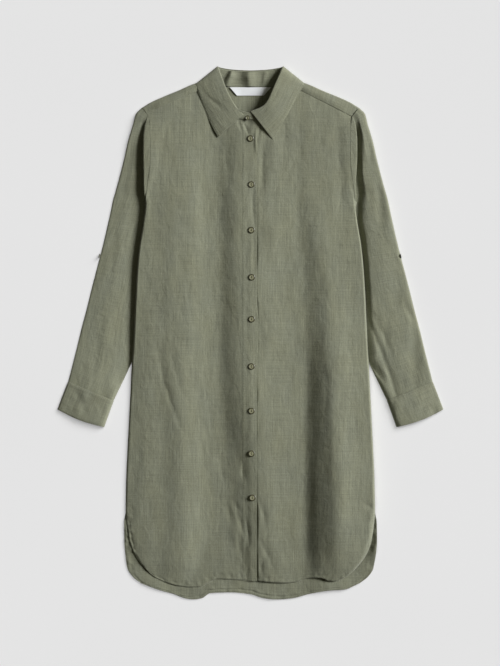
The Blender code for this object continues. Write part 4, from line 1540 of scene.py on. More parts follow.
@dataclass
class Yoke:
    """The yoke across the shoulders, folded over to the front on both sides of the neck."""

    finish: Material
    across: int = 66
    down: int = 30
    turn: int = 14
    strip: int = 12
    neck_points: int = 30
    neck_base: float = 2.3
    edge_fade: float = 3.0
    low_reach: float = 45.0
    overhang: float = 0.6
    crown: float = 1.1
    strips: dict[Hand, Patch] = field(default_factory=dict, init=False)

    def fold_line(self) -> Array:
        """Points along one shoulder's fold: x, y, height of the top layer and of the base."""
        keys = np.array(SHOULDER_FOLD, float)
        return spline(keys, self.across, chord(keys[:, :2]))

    def back(self) -> Array:
        """Points of the back of the yoke.

        Returns:
            The points, row by row.
        """
        fold = self.fold_line()
        neck = spline(np.array(BACK_NECK, float), self.neck_points)[1:]
        line = np.concatenate([fold[:, :2], neck])
        base = np.concatenate([fold[:, 3], np.full(len(neck), self.neck_base)])
        across = np.concatenate([-line[:, 0], line[-2::-1, 0]])
        top_y = np.concatenate([line[:, 1], line[-2::-1, 1]])
        base = np.concatenate([base, base[-2::-1]])
        ys = np.linspace(ARMHOLE[0].y, BACK_YOKE_SEAM_Y, self.down)
        side = smooth([*column(ARMHOLE[:4], "y"), BACK_YOKE_SEAM_Y],
                      [*column(ARMHOLE[:4], "half"), YOKE_HALF], ys)[:, None]
        share = ((ARMHOLE[0].y - ys) / (ARMHOLE[0].y - BACK_YOKE_SEAM_Y))[:, None]
        x = across[None] * (1 - share) + across[None] / across[-1] * (side * share)
        y = top_y[None] * (1 - share) + BACK_YOKE_SEAM_Y * share
        count = np.arange(len(across))
        fade = np.exp(-np.minimum(count, count[::-1]) / self.edge_fade)[None]
        x = x + (np.sign(across)[None] * (side - GAP / 2) - x) * fade
        y = y + (ys[:, None] - y) * fade
        y[0], x[0] = top_y, across
        low = ease(NECK_LIFT_Y, BACK_YOKE_SEAM_Y + self.low_reach, y)
        return np.stack([x, y, base[None] + (FLOOR - base[None]) * low], axis=-1)

    def over(self, hand: Hand, first: Array) -> Array:
        """Points of the strip that folds over one shoulder to the front seam.

        Args:
            hand: The shoulder's side.
            first: The back's edge there.

        Returns:
            The points, row by row.
        """
        fold = self.fold_line()
        plan = fold[:, :2]
        share = (fold[:, :1] - fold[-1, 0]) / (fold[0, 0] - fold[-1, 0])
        seam = np.array(NECKLINE[0]) * (1 - share) + np.array(YOKE_SEAM_END[hand]) * share
        inward = (seam - plan) / np.linalg.norm(seam - plan, axis=1, keepdims=True)
        radius = ((fold[:, 2] - fold[:, 3]) / 2)[:, None]
        seam_z = BODY.seam(seam[:, 0], seam[:, 1])
        lines = []
        for t in (k / self.strip for k in range(self.strip)):
            place_at = seam + (plan + self.overhang * inward * radius - seam) * t
            crown = self.crown * math.sin(math.pi * t) * ease(0.0, 0.3, 1 - share[:, 0])
            height = seam_z + (fold[:, 2] - seam_z) * t + crown
            lines.append(np.column_stack([place_at, height]))
        for turn in np.linspace(math.pi / 2, -math.pi / 2, self.turn)[:-1]:
            place_at = plan + self.overhang * inward * radius * (1 - math.cos(turn))
            height = fold[:, 3] + radius[:, 0] * (1 + math.sin(turn))
            lines.append(np.column_stack([place_at, height]))
        points = np.array(lines)
        points[..., 0] *= hand.value
        return np.concatenate([points, first[None]])

    def build(self) -> Object:
        """Make the yoke, its three parts welded along the shoulders.

        Returns:
            The object.
        """
        back = self.back()
        for hand, edge in ((Hand.RIGHT, back[0]), (Hand.LEFT, back[0, ::-1])):
            points = self.over(hand, edge[:self.across])
            self.strips[hand] = woven(points, (300.0 * hand.value, 500.0))
        patches = [as_cut(back, (0.0, 300.0)), *self.strips.values()]
        return Piece("yoke_cloth", "yoke", patches, self.finish, flat=(0.42, 0.19),
                     rests_on=("back_panel",)).build()


@dataclass(frozen=True)
class Lay:
    """How a tube's upper face lies: its crease by the body, its climb, plumpness and outer edge."""

    hollow: Curve = ((400, 5), (0, 5))
    rise: float = 12.0
    first: float = 0.3
    slope: float = 40.0
    plump: Curve = ((400, 1), (0, 1))
    seam_drop: float = 0.0
    trim: Curve = ((400, 0), (0, 0))
    edge_share: float = 0.5
    narrow_share: float = 0.85
    narrow: Span = (70.0, 30.0)
    outer_roll: float = 3.0
    round_out: float = 0.72
    round_in: float = 0.28

    @staticmethod
    def at(table: Curve, y: float) -> float:
        """Read one of the tables of y and value at a height up the tunic."""
        return float(along(table, y))


RIGHT_LAY = Lay(
    hollow=(
        (398, 0.4), (384, 1.5), (366, 3.2), (345, 4.4), (300, 5), (255, 6.3), (200, 7), (0, 7),
    ),
    rise=20.0, first=0.1, slope=52.0, seam_drop=0.1, edge_share=0.35, outer_roll=1.5,
    plump=((402, 1), (352, 0.92), (300, 0.72), (240, 0.62), (-60, 0.58), (-105, 0.9)),
)
LEFT_LAY = Lay(
    hollow=((402, 0.2), (380, 0.3), (300, 1.5), (262, 7), (235, 5), (200, 1), (0, 0.5)),
    rise=12.0, first=0.92, slope=40.0, edge_share=0.8,
    trim=((380, 0.5), (330, 0.6), (300, 1), (277, 2.6), (256, 2), (240, 0)),
    plump=((402, 1), (350, 1.2), (180, 1.1), (60, 0.95), (-90, 1)),
)


@dataclass
class Tube:
    """A flattened tube of cloth laid from ring to ring: the base of the sleeves and cuffs."""

    hand: Hand
    finish: Material
    rings: Sequence[Ring] = ()
    lines: int = 60
    columns: int = 84
    lay: Lay = Lay()
    bulge: float = 0.0
    seam_step: float = 0.15
    full_width: float = 45.0
    least_lip: float = 0.05
    full_lip: float = 4.0
    lip_under: float = 2.5
    free_reach: float = 24.0
    face_at: Span = (2.6, 7.0)
    under_top: float = 2.0
    patch: Patch | None = field(default=None, init=False)

    def start(self, ring: Ring, width: float, loft: float) -> tuple[list[Span], Span]:
        """Control points of a ring from its inner end to its crease, and the point that closes it.

        Args:
            ring: The ring.
            width: Its width from end to end.
            loft: Height of its upper face.

        Returns:
            The points, as distance from the inner end and height, and the closing point.
        """
        lay, step = self.lay, self.seam_step
        hollow = lay.at(lay.hollow, ring.inner_y) * min(1.0, width / self.full_width)
        if ring.lip > self.least_lip:
            full = min(1.0, ring.lip / self.full_lip)
            lip = ring.lip - lay.at(lay.trim, ring.inner_y) * full
            drop = ring.seam_z - ring.deep
            return [
                (step, ring.seam_z - lay.seam_drop * full), (lip, ring.seam_z - step),
                (lip - step, ring.seam_z - min(self.lip_under, 0.4 * drop) * full),
                (0.45 * lip, ring.seam_z - 0.6 * drop), (0.62 * lip, ring.deep + 0.1 * drop),
                (min(lip + hollow, width * 0.55), ring.deep),
            ], (step, FLOOR)
        side = float(read((ARMHOLE[-1], *SIDE_SEAM), "half", ring.inner_y))
        cover = side + hollow - ring.inner_x
        if cover > 0.0:
            drop = ring.seam_z - ring.deep
            return [(step + cover * k / 5, ring.deep + drop * (1.0 - ease(0.0, 0.7, k / 5)))
                    for k in range(6)], (step, FLOOR)
        free = ease(0.0, self.free_reach, -cover)
        reach = (loft - ring.seam_z) * free
        shape = ((0.0, 0.0), (0.5, 0.28), (2.2, 0.58), (5.5, 0.82), (8.0, 0.9), (11.0, 0.94))
        return [(d * (0.1 + 0.9 * free), ring.seam_z + s * reach) for d, s in shape], (
            0.0, ring.seam_z)

    def profile(self, ring: Ring) -> list[Span]:
        """Control points round one ring: distance from its inner end, and height.

        Args:
            ring: The ring.

        Returns:
            The points.
        """
        lay = self.lay
        width = math.hypot(*ring.run)
        loft = FLOOR + (ring.loft - FLOOR) * lay.at(lay.plump, ring.inner_y)
        start, closing = self.start(ring, width, loft)
        crease, low = start[-1]
        roll = min(lay.outer_roll, 0.25 * width)
        span = width - roll - crease
        kept = lay.edge_share + (lay.narrow_share - lay.edge_share) * ease(*lay.narrow, width)
        edge = FLOOR + (loft - FLOOR) * kept
        top = []
        for share in (0.07, 0.15, 0.3, 0.5, 0.75, 1.0):
            out = share * span
            climb = lay.first * ease(0.0, min(lay.rise, span), out)
            climb += (1 - lay.first) * min(out / min(lay.slope, span), 1.0)
            fall = (loft - edge) * ease(0.4, 1.1, share) / ease(0.4, 1.1, 1.0)
            top.append((crease + out, low + (loft - low) * climb - fall))
        middle = (edge + FLOOR) / 2
        swell = lay.round_out * (edge - middle)
        shoulder = width - lay.round_in * roll
        fold = [(shoulder, middle + swell), (width, middle), (shoulder, middle - swell)]
        under = [(out, FLOOR) for out in (width - roll, width * 0.6, width * 0.3, 2.0)]
        return start + top + fold + under + [closing]

    def surface(self) -> Array:
        """Points of the tube, a row for each ring, read smoothly down the outer fold.

        Returns:
            The points, row by row.
        """
        keys = column(self.rings, "outer_y")
        at = np.linspace(keys[0], keys[-1], self.lines)
        dense = np.stack([smooth(keys, column(self.rings, name), at) for name in Ring._fields])
        rings = rows(Ring, dense.T.tolist())
        profiles = np.array([self.profile(ring) for ring in rings])
        keys = np.mean([chord(p) for p in profiles], axis=0)
        made = []
        for i, (ring, profile) in enumerate(zip(rings, profiles)):
            line = spline(profile, self.columns, keys)
            width = math.hypot(*ring.run)
            across = np.array(ring.run) / width
            down = np.array([across[1], -across[0]])
            share = np.clip(line[:, :1] / width, 0, 1)
            push = self.bulge * i / (len(rings) - 1) * np.sin(np.pi * share)
            plan = np.array(ring[:2]) + across * line[:, :1] + down * push
            x = self.hand.value * (plan[:, 0] + GAP / 2 * (ring.lip > 0))
            made.append(np.column_stack([x, plan[:, 1], line[:, 1]]))
        return np.array(made)

    def sunk(self, points: Array, depth: Array, start: float) -> Patch:
        """The tube as cloth, its upper face sunk by a depth and its underside left flat.

        Args:
            points: Points of the tube.
            depth: How far each point of the upper face sinks.
            start: Where along the weave the piece was cut.

        Returns:
            The patch.
        """
        z = points[..., 2]
        least = np.minimum(z, self.under_top)
        points[..., 2] = np.maximum(z - depth * ease(*self.face_at, z), least)
        return woven(points, (1500.0 * self.hand.value, start))


@dataclass
class Sleeve(Tube):
    """A long sleeve, tucked under the body's side, with its folds and crumples."""

    rings: Sequence[Ring] = SLEEVE_RINGS
    lines: int = 226
    columns: int = 92
    folds: tuple[Fold, ...] = ()
    waves: tuple[Crumple, ...] = ()

    def build(self) -> Object:
        """Make the sleeve.

        Returns:
            The object.
        """
        points = self.surface()
        x, y = points[..., 0], points[..., 1]
        depth = fold_depth(self.folds, x, y) - sum(wave.at(x, y) for wave in self.waves)
        self.patch = self.sunk(points, depth, 1200.0)
        word = self.hand.word
        return Piece(f"sleeve_cloth_{word}", f"sleeve_{word}", [self.patch], self.finish,
                     flat=(0.20, 0.57), rests_on=("floor",)).build()


@dataclass
class Cuff(Tube):
    """A cuff of two layers at the end of a sleeve, its edges stitched."""

    rings: Sequence[Ring] = CUFF_RINGS
    lines: int = 22
    columns: int = 110
    bulge: float = 3.8
    face_at: Span = (2.6, 6.0)
    waves: Crumple = Crumple(41, 11.0, 13.0, 0.35)
    swell: float = 0.9
    swell_reach: float = 0.5

    def build(self) -> Object:
        """Make the cuff, its edges pulled down a little by their stitches.

        Returns:
            The object.
        """
        points = self.surface()
        count = np.arange(self.lines)
        ends = np.minimum(count, count[::-1])[:, None]
        swell = self.swell * (1 - np.exp(-ends / self.swell_reach)) - self.swell / 2
        depth = -self.waves.at(points[..., 0], points[..., 1]) - swell
        self.patch = self.sunk(points, depth, 1800.0)
        word = self.hand.word
        return Piece(f"cuff_cloth_{word}", f"cuff_{word}", [self.patch], self.finish,
                     wall=1.3, flat=(0.20, 0.057), rests_on=("floor",)).build()


@dataclass
class Collar:
    """The collar: a stand round the neck, and the leaf that turns down over it."""

    finish: Material
    lines: int = 300
    stand_steps: int = 14
    leaf_steps: int = 20
    arch: float = 1.0
    edge_drop: float = 0.5
    edge_fade: float = 30.0
    roll_radius: float = 1.0
    folds_below: Span = (14.0, 6.0)
    raised_from: Span = (4.0, 12.0)
    leaf: Patch | None = field(default=None, init=False)

    def sections(
        self, right: Sequence[Section], back: Sequence[Section], left: Sequence[Section]
    ) -> Array:
        """Sections all round the neck, read smoothly from the three tables.

        Args:
            right: The wearer's right front, from its corner.
            back: From the side of the neck to the middle of the back.
            left: The wearer's left front, from its corner.

        Returns:
            Rows of two points: the low edge and the high edge.
        """
        round_neck = [(-1.0, s) for s in (*right, *back)]
        round_neck += [(1.0, s) for s in (*left, *back)[::-1] if s.low_x != 0.0]
        table = np.array([
            [[side * s.low_x, s.low_y, s.low_z], [side * s.high_x, s.high_y, s.high_z]]
            for side, s in round_neck
        ])
        return spline(table, self.lines, chord(table.mean(axis=1)))

    def between(self, ends: Array, count: int) -> Array:
        """Even points from the low edge to the high edge of each section."""
        t = np.linspace(0.0, 1.0, count)[None, :, None]
        return ends[:, :1] + (ends[:, 1:] - ends[:, :1]) * t

    def roll(self, leaf: Array, ends: Array, raised: Array) -> Array:
        """The leaf with its high edge rolled over and down into the stand.

        Args:
            leaf: Points of the leaf.
            ends: Low and high end of each section.
            raised: How far each section stands up, from 0 to 1.

        Returns:
            The longer leaf.
        """
        inward = ends[:, 1] - ends[:, 0]
        inward[:, 2] = 0.0
        inward /= np.linalg.norm(inward, axis=1, keepdims=True)
        lines = []
        for turn in (0.5, 1.0, 1.5, 2.0):
            shift = inward * self.roll_radius * math.sin(turn) * raised
            shift[:, 2] = -self.roll_radius * (1 - math.cos(turn)) * raised[:, 0]
            lines.append(leaf[:, -1] + shift)
        return np.concatenate([leaf, np.stack(lines, axis=1)], axis=1)

    def build(self) -> list[Object]:
        """Make the stand and the leaf.

        Returns:
            Both objects.
        """
        stand = self.between(self.sections(STAND_RIGHT, STAND_BACK, STAND_LEFT), self.stand_steps)
        low = ease(*self.folds_below, stand[..., 2])
        stand[..., 2] -= fold_depth(STAND_FOLDS, stand[..., 0], stand[..., 1]) * low

        ends = self.sections(LEAF_RIGHT, LEAF_BACK, LEAF_LEFT)
        leaf = self.between(ends, self.leaf_steps)
        raised = ease(*self.raised_from, ends[:, 1, 2])[:, None]
        t = np.linspace(0.0, 1.0, self.leaf_steps)[None, :]
        leaf[..., 2] += 4 * self.arch * raised * t * (1 - t)
        leaf[..., 2] -= self.edge_drop * np.exp(-t * self.edge_fade) * raised
        leaf[..., 2] -= fold_depth(LEAF_FOLDS, leaf[..., 0], leaf[..., 1]) * raised
        self.leaf = woven(self.roll(leaf, ends, raised), (3000.0, 1400.0))
        return [
            Piece("collar_stand_cloth", "collar_stand", [woven(stand, (2400.0, 1400.0))],
                  self.finish, wall=COLLAR_WALL, flat=(0.43, 0.034),
                  rests_on=("yoke_cloth",)).build(),
            Piece("collar_leaf_cloth", "collar_leaf", [self.leaf], self.finish,
                  wall=COLLAR_WALL, flat=(0.47, 0.062),
                  rests_on=("yoke_cloth", "front_panel_right", "front_panel_left")).build(),
        ]


@dataclass
class NeckLabel:
    """The bare satin label sewn inside the back of the neck."""

    finish: Material
    top: Span = (38.4, 456.8)
    bottom: Span = (25.0, 441.4)
    height: float = 3.8
    wave: Span = (0.25, 9.0)
    end_lift: float = 1.3
    end_at: Span = (-16.0, -36.0)

    def build(self) -> Object:
        """Make the label, its right end lifting a little.

        Returns:
            The object.
        """
        t = np.linspace(0.0, 1.0, 14)[:, None]
        s = np.linspace(-1.0, 1.0, 60)[None, :]
        half, y = (a + (b - a) * t for a, b in zip(self.top, self.bottom))
        x = s * half
        z = self.height + self.wave[0] * np.sin(x / self.wave[1]) * t
        z = z + self.end_lift * ease(*self.end_at, x) * (0.4 + 0.6 * t)
        patch = woven(np.stack([x, y + 0 * s, z], axis=-1))
        return Piece("neck_label", "label", [patch], self.finish, wall=0.5,
                     slot="satin_tape", flat=(0.077, 0.0155), rests_on=("yoke_cloth",)).build()


@dataclass
class Buttons:
    """Two-hole buttons, sewn on with thread."""

    resin: Material
    thread: Material
    height: float = 1.3
    dish: float = 0.35
    hole: float = 0.95
    hole_gap: float = 1.5
    segments: int = 40
    hole_segments: int = 16
    strand_gap: float = 0.22
    strand_radius: float = 0.2
    strand_sides: int = 7
    strand_points: int = 9
    strand_sink: float = 0.7
    strand_arch: float = 1.15
    seat_gap: float = 0.1
    tab_lift: float = 0.5
    twist: Span = (0.12, 3.1)

    def profile(self, radius: float) -> list[Span]:
        """Half section of the button, from the middle of its face round to its back.

        Args:
            radius: The button's radius.

        Returns:
            Distance out and height of each point.
        """
        face, top = self.height - self.dish, self.height
        shares = (
            (0.0, face), (0.4, face), (0.66, face + 0.04), (0.71, face + 0.14),
            (0.75, top - 0.12), (0.80, top), (0.87, top - 0.02), (0.94, top - 0.25),
            (1.0, 0.56 * top), (0.97, 0.4 * top), (0.86, 0.15), (0.72, 0.0), (0.4, 0.0), (0.0, 0.0),
        )
        return [(share * radius, z) for share, z in shares]

    def solid(self, name: str, section: Sequence[Span], count: int) -> Object:
        """Turn a closed solid from its half section.

        Args:
            name: The object's name.
            section: Distance out and height of each point.
            count: Faces in a turn.

        Returns:
            The object.
        """
        bm = bmesh.new()
        rings = []
        for r, z in section:
            turns = [2 * math.pi * k / count for k in range(count if r else 1)]
            rings.append([
                bm.verts.new((r * MM * math.cos(a), r * MM * math.sin(a), z * MM)) for a in turns
            ])
        for upper, lower in zip(rings, rings[1:]):
            for k in range(count):
                n = (k + 1) % count
                if len(upper) == 1:
                    bm.faces.new((upper[0], lower[k], lower[n]))
                elif len(lower) == 1:
                    bm.faces.new((upper[k], lower[0], upper[n]))
                else:
                    bm.faces.new((upper[k], lower[k], lower[n], upper[n]))
        return in_scene(name, mesh_from(bm, name))

    def bored(self, radius: float) -> Mesh:
        """A button's mesh about its own middle, with its two holes through.

        Args:
            radius: The button's radius.

        Returns:
            The mesh.
        """
        blank = self.solid("button_blank", self.profile(radius), self.segments)
        drill = [(0.0, 6.0), (self.hole, 6.0), (self.hole, -3.0), (0.0, -3.0)]
        tools = []
        for sign in (-1.0, 1.0):
            tool = self.solid("hole_tool", drill, self.hole_segments)
            for vert in tool.data.vertices:
                vert.co.y += sign * self.hole_gap * MM
            cut = blank.modifiers.new("hole", "BOOLEAN")
            cut.object = tool
            cut.operation = "DIFFERENCE"
            cut.solver = "EXACT"
            tools.append(tool)
        mesh = evaluated(blank)
        for old in (blank, *tools):
            bpy.data.objects.remove(old)
        return mesh

    def strand(self, bm: bmesh.types.BMesh, offset: float, face: float) -> None:
        """Add one strand of sewing thread between the two holes.

        Args:
            bm: The builder.
            offset: How far to the side it lies.
            face: Height of the button's face.
        """
        path = [
            (-math.cos(t) * self.hole_gap, face - self.strand_sink + self.strand_arch * math.sin(t))
            for t in np.linspace(0.0, math.pi, self.strand_points)
        ]
        sides, rings = self.strand_sides, []
        for k, (y, z) in enumerate(path):
            a, b = path[max(k - 1, 0)], path[min(k + 1, len(path) - 1)]
            lean = math.atan2(b[1] - a[1], b[0] - a[0])
            ring = []
            for w in (2 * math.pi * q / sides for q in range(sides)):
                side, out = self.strand_radius * math.cos(w), self.strand_radius * math.sin(w)
                at = (offset + side, y - out * math.sin(lean), z + out * math.cos(lean))
                ring.append(bm.verts.new([c * MM for c in at]))
            rings.append(ring)
        for one, two in zip(rings, rings[1:]):
            for q in range(sides):
                n = (q + 1) % sides
                bm.faces.new((one[q], two[q], two[n], one[n]))
        bm.faces.new(rings[0])
        bm.faces.new(rings[-1][::-1])

    def seat(self, node: str, at: tuple[float, float, float], radius: float,
             turn: tuple[float, float, float] = (0.0, 0.0, 0.0)) -> list[Object]:
        """Put one button and its thread in place of a node.

        Args:
            node: The node that it stands for.
            at: The middle of its flat back.
            radius: Its radius.
            turn: Its turn about X, Y and Z in radians.

        Returns:
            The button and its thread.
        """
        place_at = Matrix.Translation(Vector(at) * MM) @ Euler(turn).to_matrix().to_4x4()
        button = self.bored(radius)
        layer = button.uv_layers.new(name="weave")
        for loop, spot in zip(button.loops, layer.data):
            co = button.vertices[loop.vertex_index].co
            spot.uv = (co.x / (radius * MM), co.y / (radius * MM))
        bm = bmesh.new()
        for offset in (-self.strand_gap, self.strand_gap):
            self.strand(bm, offset, self.height - self.dish)
        thread = mesh_from(bm, f"{node}_thread")
        for mesh, finish in ((button, self.resin), (thread, self.thread)):
            shade_smooth(mesh)
            mesh.transform(place_at)
            mesh.materials.clear()
            mesh.materials.append(finish)
        button.set_sharp_from_angle(angle=math.radians(40))
        return [place(in_scene(f"{node}_resin", button), node, "horn_button"),
                place(in_scene(f"{node}_thread", thread), None, "linen")]

    def build(self, band: Placket) -> list[Object]:
        """Make the nine buttons of the band, the stand's and the two on the sleeves.

        Args:
            band: The band that carries them.

        Returns:
            The objects.
        """
        made = []
        swing, pace = self.twist
        for i, (stray, creep) in enumerate(zip(BUTTON_STRAY, BUTTON_CREEP)):
            x, y = BUTTON_X + stray, TOP_BUTTON_Y - BUTTON_SPACING * i + creep
            z = band.height(x, y) + WALL / 2 + self.seat_gap
            turn = (0.0, 0.0, swing * math.sin(pace * i))
            made += self.seat(f"button_{i + 1}", (x, y, z), BUTTON_RADIUS, turn)
        made += self.seat("button_neck", NECK_BUTTON, NECK_BUTTON_RADIUS)
        for hand in Hand:
            low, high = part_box(f"tab_button_{hand.word}")
            reach = max(low[0] * hand.value, high[0] * hand.value) / MM
            inner = reach - self.height * math.cos(SLEEVE_SPLAY)
            x = min(min(abs(low[0]), abs(high[0])) / MM + TAB_BUTTON_PROUD[hand], inner)
            at = (hand.value * x, (low[1] + high[1]) / 2 / MM, TAB_BUTTON_RADIUS + self.tab_lift)
            turn = (0.0, hand.value * math.pi / 2, hand.value * SLEEVE_SPLAY)
            made += self.seat(f"tab_button_{hand.word}", at, TAB_BUTTON_RADIUS, turn)
        LOG.info("buttons: %d pieces", len(made))
        return made


@dataclass
class Stitching:
    """Rows of machine stitches along seams and edges, laid by Geometry Nodes."""

    finish: Material
    pitch: float = 3.0
    length: float = 2.4
    thickness: float = 0.42
    seed: int = 7
    sway: tuple[float, float, float] = (0.0, 0.05, 0.09)
    proud: float = 0.12
    hem_inset: float = 7.0
    seam_share: float = 0.45
    collar_proud: float = 0.15
    collar_top: float = 12.0
    cuff_proud: float = 0.4
    cuff_top: float = 4.0
    lines: list[Array] = field(default_factory=list, init=False)

    def sew(self, line: Array) -> None:
        """Add one line of stitches, as a row of points in millimetres."""
        self.lines.append(np.asarray(line, float))

    def tree(self) -> bpy.types.NodeTree:
        """Build the node tree that puts a stitch at every pitch along a set of lines.

        Returns:
            The tree.
        """
        tree = bpy.data.node_groups.new("running_stitch", "GeometryNodeTree")
        inputs = {
            "Seam lines": "Geometry", "Pitch": "Float", "Stitch length": "Float",
            "Thread thickness": "Float", "Seed": "Int", "Thread": "Material",
        }
        for name, kind in inputs.items():
            tree.interface.new_socket(name, in_out="INPUT", socket_type=f"NodeSocket{kind}")
        tree.interface.new_socket("Stitches", in_out="OUTPUT", socket_type="NodeSocketGeometry")
        kinds = {
            "given": "NodeGroupInput", "result": "NodeGroupOutput",
            "curve": "GeometryNodeMeshToCurve", "evened": "GeometryNodeResampleCurve",
            "blob": "GeometryNodeMeshIcoSphere", "size": "ShaderNodeCombineXYZ",
            "tangent": "GeometryNodeInputTangent", "align": "FunctionNodeAlignRotationToVector",
            "sway": "FunctionNodeRandomValue", "turn": "FunctionNodeRotateRotation",
            "lay": "GeometryNodeInstanceOnPoints", "real": "GeometryNodeRealizeInstances",
            "dress": "GeometryNodeSetMaterial",
        }
        nodes = {name: tree.nodes.new(kind) for name, kind in kinds.items()}
        nodes["evened"].mode = "LENGTH"
        nodes["align"].axis = "X"
        nodes["turn"].rotation_space = "LOCAL"
        nodes["sway"].data_type = "FLOAT_VECTOR"
        nodes["blob"].inputs["Radius"].default_value = 0.5
        nodes["blob"].inputs["Subdivisions"].default_value = 1
        for entry, sign in ((0, -1), (1, 1)):
            nodes["sway"].inputs[entry].default_value = [sign * angle for angle in self.sway]
        links = (
            ("given", "Seam lines", "curve", "Mesh"), ("curve", "Curve", "evened", "Curve"),
            ("given", "Pitch", "evened", "Length"), ("given", "Stitch length", "size", 0),
            ("given", "Thread thickness", "size", 1), ("given", "Thread thickness", "size", 2),
            ("given", "Seed", "sway", "Seed"), ("tangent", "Tangent", "align", "Vector"),
            ("align", "Rotation", "turn", "Rotation"), ("sway", "Value", "turn", "Rotate By"),
            ("evened", "Curve", "lay", "Points"), ("blob", "Mesh", "lay", "Instance"),
            ("turn", "Rotation", "lay", "Rotation"), ("size", "Vector", "lay", "Scale"),
            ("lay", "Instances", "real", "Geometry"), ("real", "Geometry", "dress", "Geometry"),
            ("given", "Thread", "dress", "Material"), ("dress", "Geometry", "result", "Stitches"),
        )
        for start, output, end, entry in links:
            tree.links.new(nodes[start].outputs[output], nodes[end].inputs[entry])
        return tree

    def build(self, name: str) -> Object:
        """Lay the stitches and make them one plain mesh.

        Args:
            name: The piece's name.

        Returns:
            The object.
        """
        verts, edges = [], []
        for line in self.lines:
            first = len(verts)
            verts += (line * MM).tolist()
            edges += [(k, k + 1) for k in range(first, len(verts) - 1)]
        mesh = bpy.data.meshes.new("seam_lines")
        mesh.from_pydata(verts, edges, [])
        carrier = in_scene("seam_lines", mesh)
        nodes = carrier.modifiers.new("stitches", "NODES")
        nodes.node_group = self.tree()
        values = {
            "Pitch": self.pitch * MM, "Stitch length": self.length * MM,
            "Thread thickness": self.thickness * MM, "Seed": self.seed, "Thread": self.finish,
        }
        for item in nodes.node_group.interface.items_tree:
            if item.in_out == "INPUT" and item.name in values:
                nodes[item.identifier] = values[item.name]
        plain = evaluated(carrier)
        bpy.data.objects.remove(carrier)
        plain.name = name
        shade_smooth(plain)
        LOG.info("%s: %d faces", name, len(plain.polygons))
        return place(in_scene(name, plain), None, "linen")


@dataclass(frozen=True)
class Sun:
    """A soft studio light, as the direction it comes from, its strength and its size."""

    name: str
    azimuth: float
    elevation: float
    strength: float
    size: float
    tint: Colour = (1.0, 1.0, 1.0)

    def build(self, lit: bpy.types.Collection) -> Object:
        """Make the light, limited to the collection that it is to light.

        Args:
            lit: What it lights.

        Returns:
            The object.
        """
        lamp = bpy.data.lights.new(self.name, "SUN")
        lamp.energy = self.strength
        lamp.color = self.tint
        lamp.angle = math.radians(self.size)
        made = in_scene(self.name, lamp)
        made.rotation_euler = (0.0, math.radians(90.0 - self.elevation), math.radians(self.azimuth))
        made.light_linking.receiver_collection = lit
        return made


@dataclass(frozen=True)
class Studio:
    """The pale floor, the lights and the camera straight above."""

    paper: StudioPaper = StudioPaper()
    reach: float = 4.0
    cloth_lights: tuple[Sun, ...] = (
        Sun("key", 20.0, 28.0, 5.49, 24.0), Sun("fill", 20.0, 88.0, 0.19, 120.0, (1.0, 0.96, 0.62)),
    )
    paper_lights: tuple[Sun, ...] = (
        Sun("paper_key", 42.0, 35.0, 1.94, 36.0), Sun("paper_fill", 42.0, 88.0, 1.85, 60.0),
    )
    ambient: float = 0.022
    eye: tuple[float, float, float] = (-0.00065, 0.0005, 3.4397)
    lens: float = 100.0
    sensor: float = 36.0

    def build(self) -> None:
        """Make the floor, the lights, the surroundings and the camera."""
        mesh = bpy.data.meshes.new("paper_floor")
        corners = [(x * self.reach, y * self.reach, 0)
                   for x, y in ((-1, -1), (1, -1), (1, 1), (-1, 1))]
        mesh.from_pydata(corners, [], [(0, 1, 2, 3)])
        mesh.materials.append(self.paper.build())
        floor = in_scene("paper_floor", mesh)
        cloth, ground = (bpy.data.collections.new(name) for name in ("lit_cloth", "lit_paper"))
        for made in bpy.context.scene.objects:
            if made.type == "MESH":
                (ground if made is floor else cloth).objects.link(made)
        for suns, lit in ((self.cloth_lights, cloth), (self.paper_lights, ground)):
            for sun in suns:
                sun.build(lit)
        world = bpy.data.worlds.new("studio_air")
        world.use_nodes = True
        air = world.node_tree.nodes["Background"]
        air.inputs["Color"].default_value = (1.0, 1.0, 1.0, 1.0)
        air.inputs["Strength"].default_value = self.ambient
        scene = bpy.context.scene
        scene.world = world
        scene.view_settings.view_transform = "Standard"
        camera = bpy.data.cameras.new("overhead")
        camera.lens = self.lens
        camera.sensor_width = self.sensor
        camera.sensor_fit = "AUTO"
        scene.camera = in_scene("overhead", camera)
        scene.camera.location = self.eye


def hem_line(panel: FrontPanel | BackPanel, distance: float, longest: float = 60.0) -> Array:
    """The line of stitches along a tail's edge, on the cloth's upper face.

    Args:
        panel: The panel.
        distance: How far in from the edge the line runs.
        longest: The longest step it may take.

    Returns:
        The line's points.
    """
    lifted = panel.patch.raised(WALL / 2 + 0.1)
    line = []
    for j, away in enumerate(panel.away.T):
        hits = np.flatnonzero((away[:-1] >= distance) & (away[1:] < distance))
        if not len(hits):
            continue
        i = hits[-1]
        t = (away[i] - distance) / (away[i] - away[i + 1])
        point = lifted[i, j] * (1 - t) + lifted[i + 1, j] * t
        if not line or np.linalg.norm(point - line[-1]) < longest:
            line.append(point)
    return np.array(line)


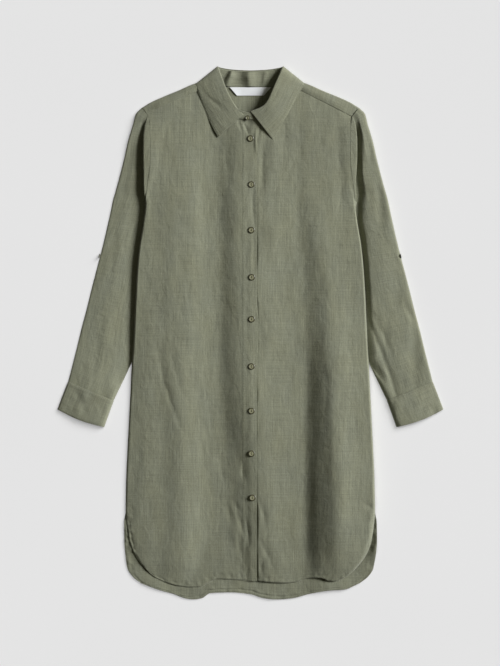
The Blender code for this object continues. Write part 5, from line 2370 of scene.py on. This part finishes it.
def sew_edges(
    stitching: Stitching, fronts: Sequence[FrontPanel], back: BackPanel, band: Placket,
    yoke: Yoke, collar: Collar, cuffs: Sequence[Cuff],
) -> None:
    """Put every line of stitches that shows into one stitching.

    Args:
        stitching: What the lines go into.
        fronts: The front panels.
        back: The back.
        band: The button band.
        yoke: The yoke.
        collar: The collar.
        cuffs: The cuffs.
    """
    proud = WALL / 2 + stitching.proud
    top = band.patch.raised(proud)
    stitching.sew(top[2:-2, 3])
    stitching.sew(top[2:-2, -4])
    for panel in (*fronts, back):
        stitching.sew(hem_line(panel, stitching.hem_inset))
    for strip in yoke.strips.values():
        face = strip.raised(proud)[:, 3:-3]
        stitching.sew(face[0] * stitching.seam_share + face[1] * (1 - stitching.seam_share))
    leaf = collar.leaf.raised(COLLAR_WALL / 2 + stitching.collar_proud)
    shown = leaf[..., 2].max(axis=1) > stitching.collar_top
    hidden = np.flatnonzero(~shown)
    last = np.flatnonzero(shown)[-1]
    for part in (slice(1, hidden[0]), slice(hidden[-1] + 1, last)):
        stitching.sew(leaf[part, 1])
    for row in (1, -2):
        stitching.sew(leaf[row, 1:collar.leaf_steps - 2])
    for cuff in cuffs:
        face = cuff.patch.points
        upper = face[..., 2] > stitching.cuff_top
        lift = (proud + stitching.cuff_proud) * np.array([0.0, 0.0, 1.0])
        for row in (1, 2, -2):
            stitching.sew((face + lift)[row][upper[row]])


def main() -> None:
    """Build the tunic, its studio and its camera."""
    logging.basicConfig(level=logging.INFO, format="%(message)s")
    linen = Linen().build()
    thread = SewingThread("seam_thread", (0.27, 0.28, 0.20)).build()
    button_thread = SewingThread("button_thread", (0.12, 0.115, 0.07)).build()

    sleeves = [
        Sleeve(Hand.RIGHT, linen, folds=RIGHT_SLEEVE_FOLDS, lay=RIGHT_LAY,
               waves=(Crumple(51, 17.0, 70.0, 0.5), Crumple(52, 34.0, 44.0, 0.5))),
        Sleeve(Hand.LEFT, linen, folds=LEFT_SLEEVE_FOLDS, lay=LEFT_LAY,
               waves=(Crumple(53, 17.0, 70.0, 0.5), Crumple(54, 34.0, 44.0, 0.5))),
    ]
    cuffs = [Cuff(Hand.RIGHT, linen), Cuff(Hand.LEFT, linen)]
    back = BackPanel(linen)
    fronts = [FrontPanel(Hand.RIGHT, linen), FrontPanel(Hand.LEFT, linen)]
    band = Placket(linen)
    yoke = Yoke(linen)
    collar = Collar(linen)
    for part in (*sleeves, *cuffs, back, *fronts, band, yoke, collar):
        part.build()
    NeckLabel(SatinTape().build()).build()
    Buttons(HornResin().build(), button_thread).build(band)

    stitching = Stitching(thread)
    sew_edges(stitching, fronts, back, band, yoke, collar, cuffs)
    stitching.build("seam_stitches")
    Studio().build()

    LOG.info("tunic done")


if __name__ == "__main__":
    main()
